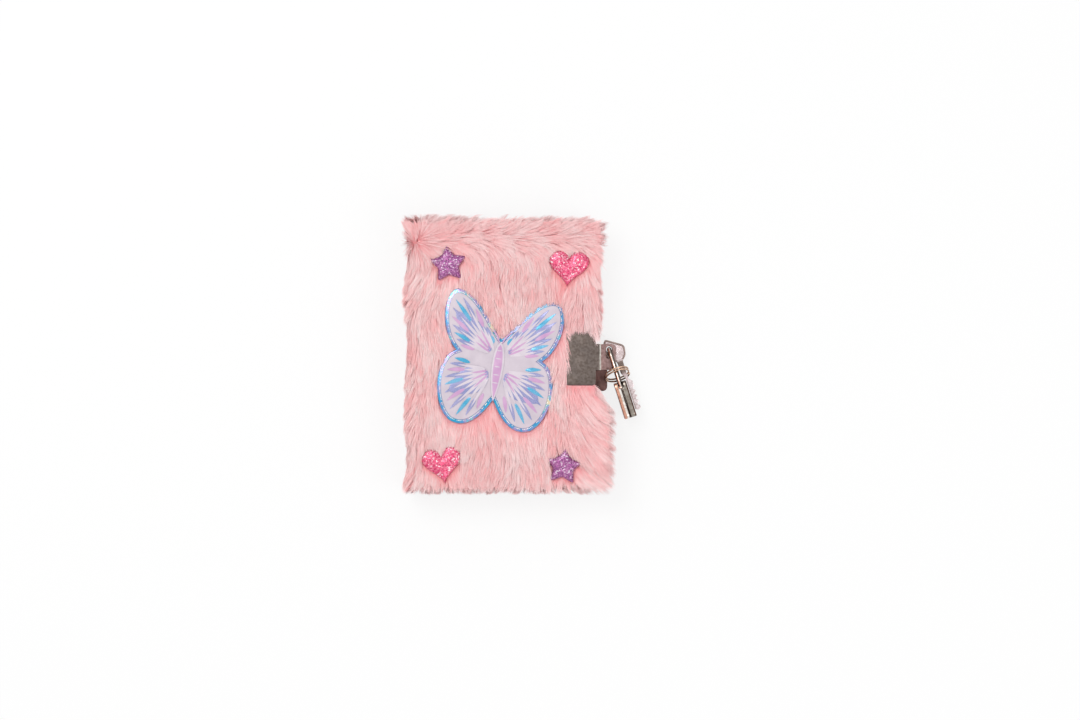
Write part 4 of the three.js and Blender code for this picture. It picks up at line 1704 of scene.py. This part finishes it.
@dataclass
class PageBlock:
    """The leaves of the six sections, the endpapers, the boards and the spine's lining."""

    leaves: int = 12
    seed: int = 4
    corner: float = 2 * MM
    bound_width: float = 0.045
    fore_edge_spread: float = 0.12 * MM
    end_spread: float = 0.1 * MM
    lift: float = 0.01 * MM
    slit: float = 0.03 * MM
    folds: int = 24

    def leaf_stack(self, node: str, body: str, finish: Finish, rng: np.random.Generator) -> None:
        """Replaces one section by its leaves.

        Args:
            node: The CAD node of the section.
            body: The CAD body that it rides on.
            finish: The paper.
            rng: Random numbers for how the leaves' edges lie.
        """
        low, high = (np.array(corner[:]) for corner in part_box(node))
        pitch = (high[2] - low[2]) / self.leaves
        radius = self.corner
        turns = np.linspace(0, math.pi / 2, 5)
        bound = low[0] + self.bound_width
        vertices, faces = [], []
        for k in range(self.leaves):
            x1 = high[0] - abs(rng.normal(0, self.fore_edge_spread))
            y0 = low[1] + abs(rng.normal(0, self.end_spread))
            y1 = high[1] - abs(rng.normal(0, self.end_spread))
            ring = [(low[0], y0), (bound, y0)]
            ring += [(x1 - radius + radius * math.sin(a), y0 + radius - radius * math.cos(a)) for a in turns]
            ring += [(x1, (y0 + y1) / 2)]
            ring += [(x1 - radius + radius * math.cos(a), y1 - radius + radius * math.sin(a)) for a in turns]
            ring += [(bound, y1), (low[0], y1)]
            n, start = len(ring), len(vertices)
            z0 = low[2] + k * pitch + self.lift
            z1 = z0 + pitch - self.slit
            vertices += [(x, y, z0) for x, y in ring] + [(x, y, z1) for x, y in ring]
            faces.append(tuple(start + i for i in reversed(range(n))))
            faces.append(tuple(start + n + i for i in range(n)))
            faces += [tuple(start + i for i in wall) for wall in walls(2, n)]
        mesh = mesh_of(node + "_leaves", np.array(vertices), faces, None)
        piece = new_object(node + "_leaves", mesh, finish, body)
        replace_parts(piece, node)

    def lining(self, finish: Finish) -> None:
        """Replaces the lining by a strip of the same size, in rings up its height.

        Args:
            finish: The cloth.
        """
        low, high = (np.array(corner[:]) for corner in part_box("spine_lining"))
        heights = np.linspace(low[2], high[2], self.folds + 1)
        corners = ((low[0], low[1]), (high[0], low[1]), (high[0], high[1]), (low[0], high[1]))
        vertices = [(x, y, z) for z in heights for x, y in corners]
        faces = [(3, 2, 1, 0), tuple(4 * self.folds + i for i in range(4)), *walls(self.folds + 1, 4)]
        piece = new_object("spine_lining_cloth", mesh_of("lining", np.array(vertices), faces, None), finish)
        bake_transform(piece)
        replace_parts(piece, "spine_lining")

    def build(self) -> None:
        """Builds the leaves and dresses the papers and boards."""
        rng = np.random.default_rng(self.seed)
        ruled = LeafPaper("ruled paper", "fbf8f1", "e59cb2").material()
        plain = LeafPaper("pink endpaper", "f7d3dc", "eab3c4", ruled=False).material()
        board = GreyBoard().material()
        for number in range(1, 7):
            body = "root" if number == 6 else f"leaves_{number}"
            self.leaf_stack(f"section_{number}", body, ruled, rng)
        for node in ("back_pastedown", "front_pastedown", "rear_flyleaf", "front_flyleaf"):
            self.dress(node, plain)
        for node in ("back_board", "front_board", "spine_board"):
            self.dress(node, board)
        self.lining(WovenCloth("lining cloth", "d9d2c6", "f7f3ea").material())
        log.info("page block")

    def dress(self, node: str, finish: Finish) -> None:
        """Gives a CAD node its finish.

        Args:
            node: The node's name.
            finish: Its material.
        """
        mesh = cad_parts[node].data
        mesh.materials.clear()
        mesh.materials.append(finish)


@dataclass
class Hardware:
    """The clips, the padlock and the key."""

    sheet_bevel: float = 0.16 * MM
    case_bevel: float = 0.14 * MM
    crown: Point = (59.525 * MM, 2.7 * MM)
    lean: float = math.radians(17.6)
    bow_reach: float = 8.1 * MM
    rim_points: int = 320

    def hanging(self, down: float, across: float, tones: Stops) -> Bands:
        """Gives bands in the padlock's own directions, from the crown of its wire.

        Args:
            down: The share of the way that runs down along the lock.
            across: The share that runs across it.
            tones: Place in millimetres and hex colour of each tone.

        Returns:
            The bands.
        """
        c, s = math.cos(self.lean), math.sin(self.lean)
        way = (down * s + across * c, across * s - down * c, 0.0)
        return Bands(way, way[0] * self.crown[0] + way[1] * self.crown[1], tones)

    def key_rim(self, finish: Finish) -> None:
        """Raises a rim along the edge of the key's bow.

        Args:
            finish: The rim's material.
        """
        edit = bmesh.new()
        edit.from_mesh(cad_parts["key"].data)
        bmesh.ops.remove_doubles(edit, verts=edit.verts, dist=WELD)
        top = max(v.co.z for v in edit.verts)
        after = {}
        for face in edit.faces:
            if face.normal.z > 0.9:
                for loop in face.loops:
                    if loop.link_loop_radial_next.face.normal.z < 0.5:
                        after[loop.vert.co.xy[:]] = loop.link_loop_next.vert.co.xy[:]
        edit.free()
        c, s = math.cos(self.lean), math.sin(self.lean)
        first = max(after, key=lambda p: p[0] * s - p[1] * c)
        chain = [first]
        while after[chain[-1]] != first:
            chain.append(after[chain[-1]])
        edge = Outline(np.array(chain)).resampled(self.rim_points)
        from_crown = (edge.points - np.array(self.crown)) @ np.array([s, -c])
        bow = np.flatnonzero(from_crown < self.bow_reach)
        # Each row is how far it lies in from the edge and how far above the face, in millimetres.
        rows = ((0.06, -0.05), (0.25, 0.2), (0.9, 0.2), (1.1, -0.05))
        count, sides = len(bow), len(rows)
        lines = [
            np.column_stack([edge.grown(-inset * MM).points[bow], np.full(count, top + lift * MM)])
            for inset, lift in rows
        ]
        vertices = np.stack(lines, axis=1).reshape(-1, 3)
        faces = [
            (sides * i + k, sides * (i + 1) + k,
             sides * (i + 1) + (k + 1) % sides, sides * i + (k + 1) % sides)
            for i in range(count - 1)
            for k in range(sides)
        ]
        faces += [tuple(range(sides)), tuple(range(sides * (count - 1), sides * count))[::-1]]
        new_object("key_rim", mesh_of("key_rim", vertices, faces), finish, "key_set")

    def build(self) -> None:
        """Builds the metal pieces."""
        # A painted highlight: a pale line along the clip's bend, then a pinkish brown painted reflection of
        # the fur on the strap beyond it.
        strap = Bands((1.0, 0.0, 0.0), 0.0, (
            (53.8, "dedad2"), (54.8, "dedad2"), (55.2, "a88a88"), (62.0, "a48987"), (80.0, "a48987"),
        ))
        # Painted reflections across the padlock case: a pinkish strip that mirrors the fur, a pale
        # highlight, then dark and grey bands.
        plating = self.hanging(0.0, 1.0, (
            (-3.5, "c38a76"), (-3.0, "d9a08a"), (-1.9, "dba892"), (-1.6, "f2ece6"),
            (-0.8, "f4f0ea"), (-0.5, "4b3d38"), (0.5, "4a3d37"), (0.8, "9c958c"),
            (2.6, "a39c93"), (2.9, "5c4038"), (3.5, "563b34"),
        ))
        # Painted reflections along the shackle wire: dark, a pinkish brown strip, a pale highlight, then
        # dark grey.
        wire_painted_reflections = self.hanging(0.0, 1.0, (
            (-1.6, "4d362f"), (-1.0, "6b4a3f"), (-0.8, "b98370"), (-0.3, "c48d78"),
            (-0.15, "f0e8e0"), (0.2, "f0e8e0"), (0.4, "544a44"), (1.6, "7a716a"),
        ))
        neck = self.hanging(1.0, 0.0, (
            (8.1, "9a8a84"), (9.2, "82736c"), (14.5, "8a7a74"), (16.5, "d3c1c2"),
        ))
        brushed = Brushing.LENGTHWISE
        clip = PlatedMetal("clip plate", "6f6560", "645b57", 0.42, brushed, 160.0, strap).material()
        # The back clip's dark pinkish brown is painted shade and a painted reflection of the fur.
        flange = PlatedMetal("back clip", "765a56", "523e3b", 0.36, brushed).material()
        case = PlatedMetal("padlock case", "cdc2bd", "a3948d", 0.2, brushed, 120.0, plating).material()
        wire = PlatedMetal("shackle wire", "c4aea5", "967b72", 0.16, Brushing.NONE, 140.0, wire_painted_reflections).material()
        ring = PlatedMetal("ring wire", "dcb9a0", "543b31", 0.18, Brushing.NONE, 260.0).material()
        key = PlatedMetal("key plating", "e9dbdd", "d3c1c2", 0.24, Brushing.NONE, 90.0, neck).material()
        self.key_rim(PlatedMetal("key rim", "a5918a", "7f6c65", 0.24).material())
        rows = (
            ("front_clip", clip, self.sheet_bevel, "front_cover", "clip_metal"),
            ("back_clip", flange, self.sheet_bevel, "root", "clip_metal"),
            ("lock_case_left", case, self.case_bevel, "lock_case", "nickel"),
            ("lock_case_right", case, self.case_bevel, "lock_case", "nickel"),
            ("lock_rivet", wire, 0.08 * MM, "lock_case", "nickel"),
            ("lock_bolt", wire, 0.08 * MM, "lock_bolt", "nickel"),
            ("lock_plug", case, 0.1 * MM, "lock_plug", "nickel"),
            ("shackle", wire, 0.1 * MM, "shackle", "nickel"),
            ("key", key, 0.12 * MM, "key_set", "nickel"),
            ("key_ring", ring, 0.05 * MM, "key_set", "nickel"),
        )
        for node, finish, bevel, body, slot in rows:
            refined(node, finish, bevel, body)
            log.info("%s", node)


@dataclass
class Studio:
    """Floor, light and camera."""

    sensor: float = 36.0
    target: Point = (0.0208, -0.0033)
    frame_width: float = 0.5994
    distance: float = 2.2
    seen_level: float = 0.031
    soft_power: float = 8.6
    world_fill: float = 0.71
    floor_half: float = 3.0
    floor_glow: float = 0.8
    key_place: tuple[float, float, float] = (-0.52, 0.52, 1.42)
    fill_place: tuple[float, float, float] = (0.9, -0.5, 1.2)
    key_size: float = 0.8
    fill_size: float = 0.9
    fill_share: float = 0.45

    def camera(self) -> None:
        """Puts the camera straight above, as the photograph was taken."""
        data = bpy.data.cameras.new("camera")
        data.sensor_width = self.sensor
        data.lens = self.sensor * (self.distance - self.seen_level) / self.frame_width
        data.clip_start, data.clip_end = 0.05, 20
        camera = bpy.data.objects.new("camera", data)
        camera.location = (*self.target, self.distance)
        bpy.context.scene.collection.objects.link(camera)
        bpy.context.scene.camera = camera

    def floor(self) -> None:
        """Lays a pale floor, which shows white and keeps the object's shadow."""
        half = self.floor_half
        corners = np.array([(-half, -half, 0), (half, -half, 0), (half, half, 0), (-half, half, 0)])
        mesh = mesh_of("floor", corners, [(0, 1, 2, 3)], None)
        graph = Graph("floor", 0.9)
        graph.shader.inputs["Base Color"].default_value = linear("f4f4f4")
        glow = graph.node("Emission", strength=1.0)
        ray = graph.node("LightPath")
        seen = graph.math("MAXIMUM", ray.outputs["Is Camera Ray"], ray.outputs["Is Glossy Ray"])
        share = graph.math("MULTIPLY", seen, self.floor_glow)
        both = graph.node("MixShader")
        graph.link(share, both.inputs[0])
        graph.link(graph.shader.outputs[0], both.inputs[1])
        graph.link(glow.outputs[0], both.inputs[2])
        end = next(n for n in graph.tree.nodes if n.type == "OUTPUT_MATERIAL")
        graph.link(both.outputs[0], end.inputs["Surface"])
        new_object("floor", mesh, graph.material)

    def lamp(self, name: str, place: tuple[float, float, float], size: float, power: float) -> None:
        """Hangs a square soft lamp that faces the journal.

        Args:
            name: The lamp's name.
            place: Where it hangs.
            size: Length of its side in metres.
            power: Its power in watts.
        """
        data = bpy.data.lights.new(name, "AREA")
        data.energy, data.size = power, size
        lamp = bpy.data.objects.new(name, data)
        lamp.location = place
        lamp.rotation_euler = (-Vector(place)).to_track_quat("-Z", "Y").to_euler()
        bpy.context.scene.collection.objects.link(lamp)

    def sky(self) -> None:
        """Makes the surroundings white to the camera and in reflections, and a soft fill for the rest."""
        world = bpy.data.worlds.new("studio")
        bpy.context.scene.world = world
        world.use_nodes = True
        tree = world.node_tree
        back = next(n for n in tree.nodes if n.type == "BACKGROUND")
        back.inputs["Color"].default_value = (1, 1, 1, 1)
        ray = tree.nodes.new("ShaderNodeLightPath")
        value = ray.outputs["Is Camera Ray"]
        for name in ("Is Glossy Ray", "Is Transmission Ray"):
            more = tree.nodes.new("ShaderNodeMath")
            more.operation = "MAXIMUM"
            tree.links.new(value, more.inputs[0])
            tree.links.new(ray.outputs[name], more.inputs[1])
            value = more.outputs[0]
        level = tree.nodes.new("ShaderNodeMapRange")
        level.inputs["To Min"].default_value = self.world_fill
        tree.links.new(value, level.inputs["Value"])
        tree.links.new(level.outputs[0], back.inputs["Strength"])

    def build(self) -> None:
        """Builds the studio."""
        self.camera()
        self.floor()
        self.sky()
        self.lamp("key lamp", self.key_place, self.key_size, self.soft_power)
        self.lamp("fill lamp", self.fill_place, self.fill_size, self.soft_power * self.fill_share)
        bpy.context.scene.view_settings.view_transform = "Standard"


def rectangle(x0: float, y0: float, x1: float, y1: float) -> Outline:
    """Gives an upright rectangle between two corners in millimetres."""
    return Outline(np.array([(x0, y0), (x1, y0), (x1, y1), (x0, y1)]) * MM)


def plate_room() -> list[tuple[Outline, float]]:
    """Gives a clip's plate as seen from above, and the space beside it for the strap and padlock.

    Returns:
        Each outline, with how far strands lie over its edge.
    """
    plate = rectangle(35.5, -17.2, 51.7, 14.4)
    beside = rectangle(51.0, -9.2, 70.0, 5.9)
    return [(plate, 1.9 * MM), (beside, 0.4 * MM)]


def main() -> None:
    """Builds the journal and its studio."""
    logging.basicConfig(level=logging.INFO, format="%(message)s")
    Studio().build()
    case = FurCase(pile=FurPile().material(), backing=FurBacking().material())
    appliques = Appliques()
    pads = [(outline, 0.45 * MM) for outline in appliques.outlines()]
    flange = rectangle(51.0, -21.8, 70.0, 6.0)
    case.cover_fur(Cover.FRONT, Blocked(pads + plate_room()))
    case.cover_fur(Cover.BACK, Blocked(plate_room() + [(flange, 0.3 * MM)]))
    case.spine_fur()
    case.corner_fur("front_joint_plush", FRONT_HINGE_Z, 1)
    case.corner_fur("back_joint_plush", BACK_HINGE_Z, -1)
    appliques.build()
    PageBlock().build()
    Hardware().build()
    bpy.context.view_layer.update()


if __name__ == "__main__":
    main()
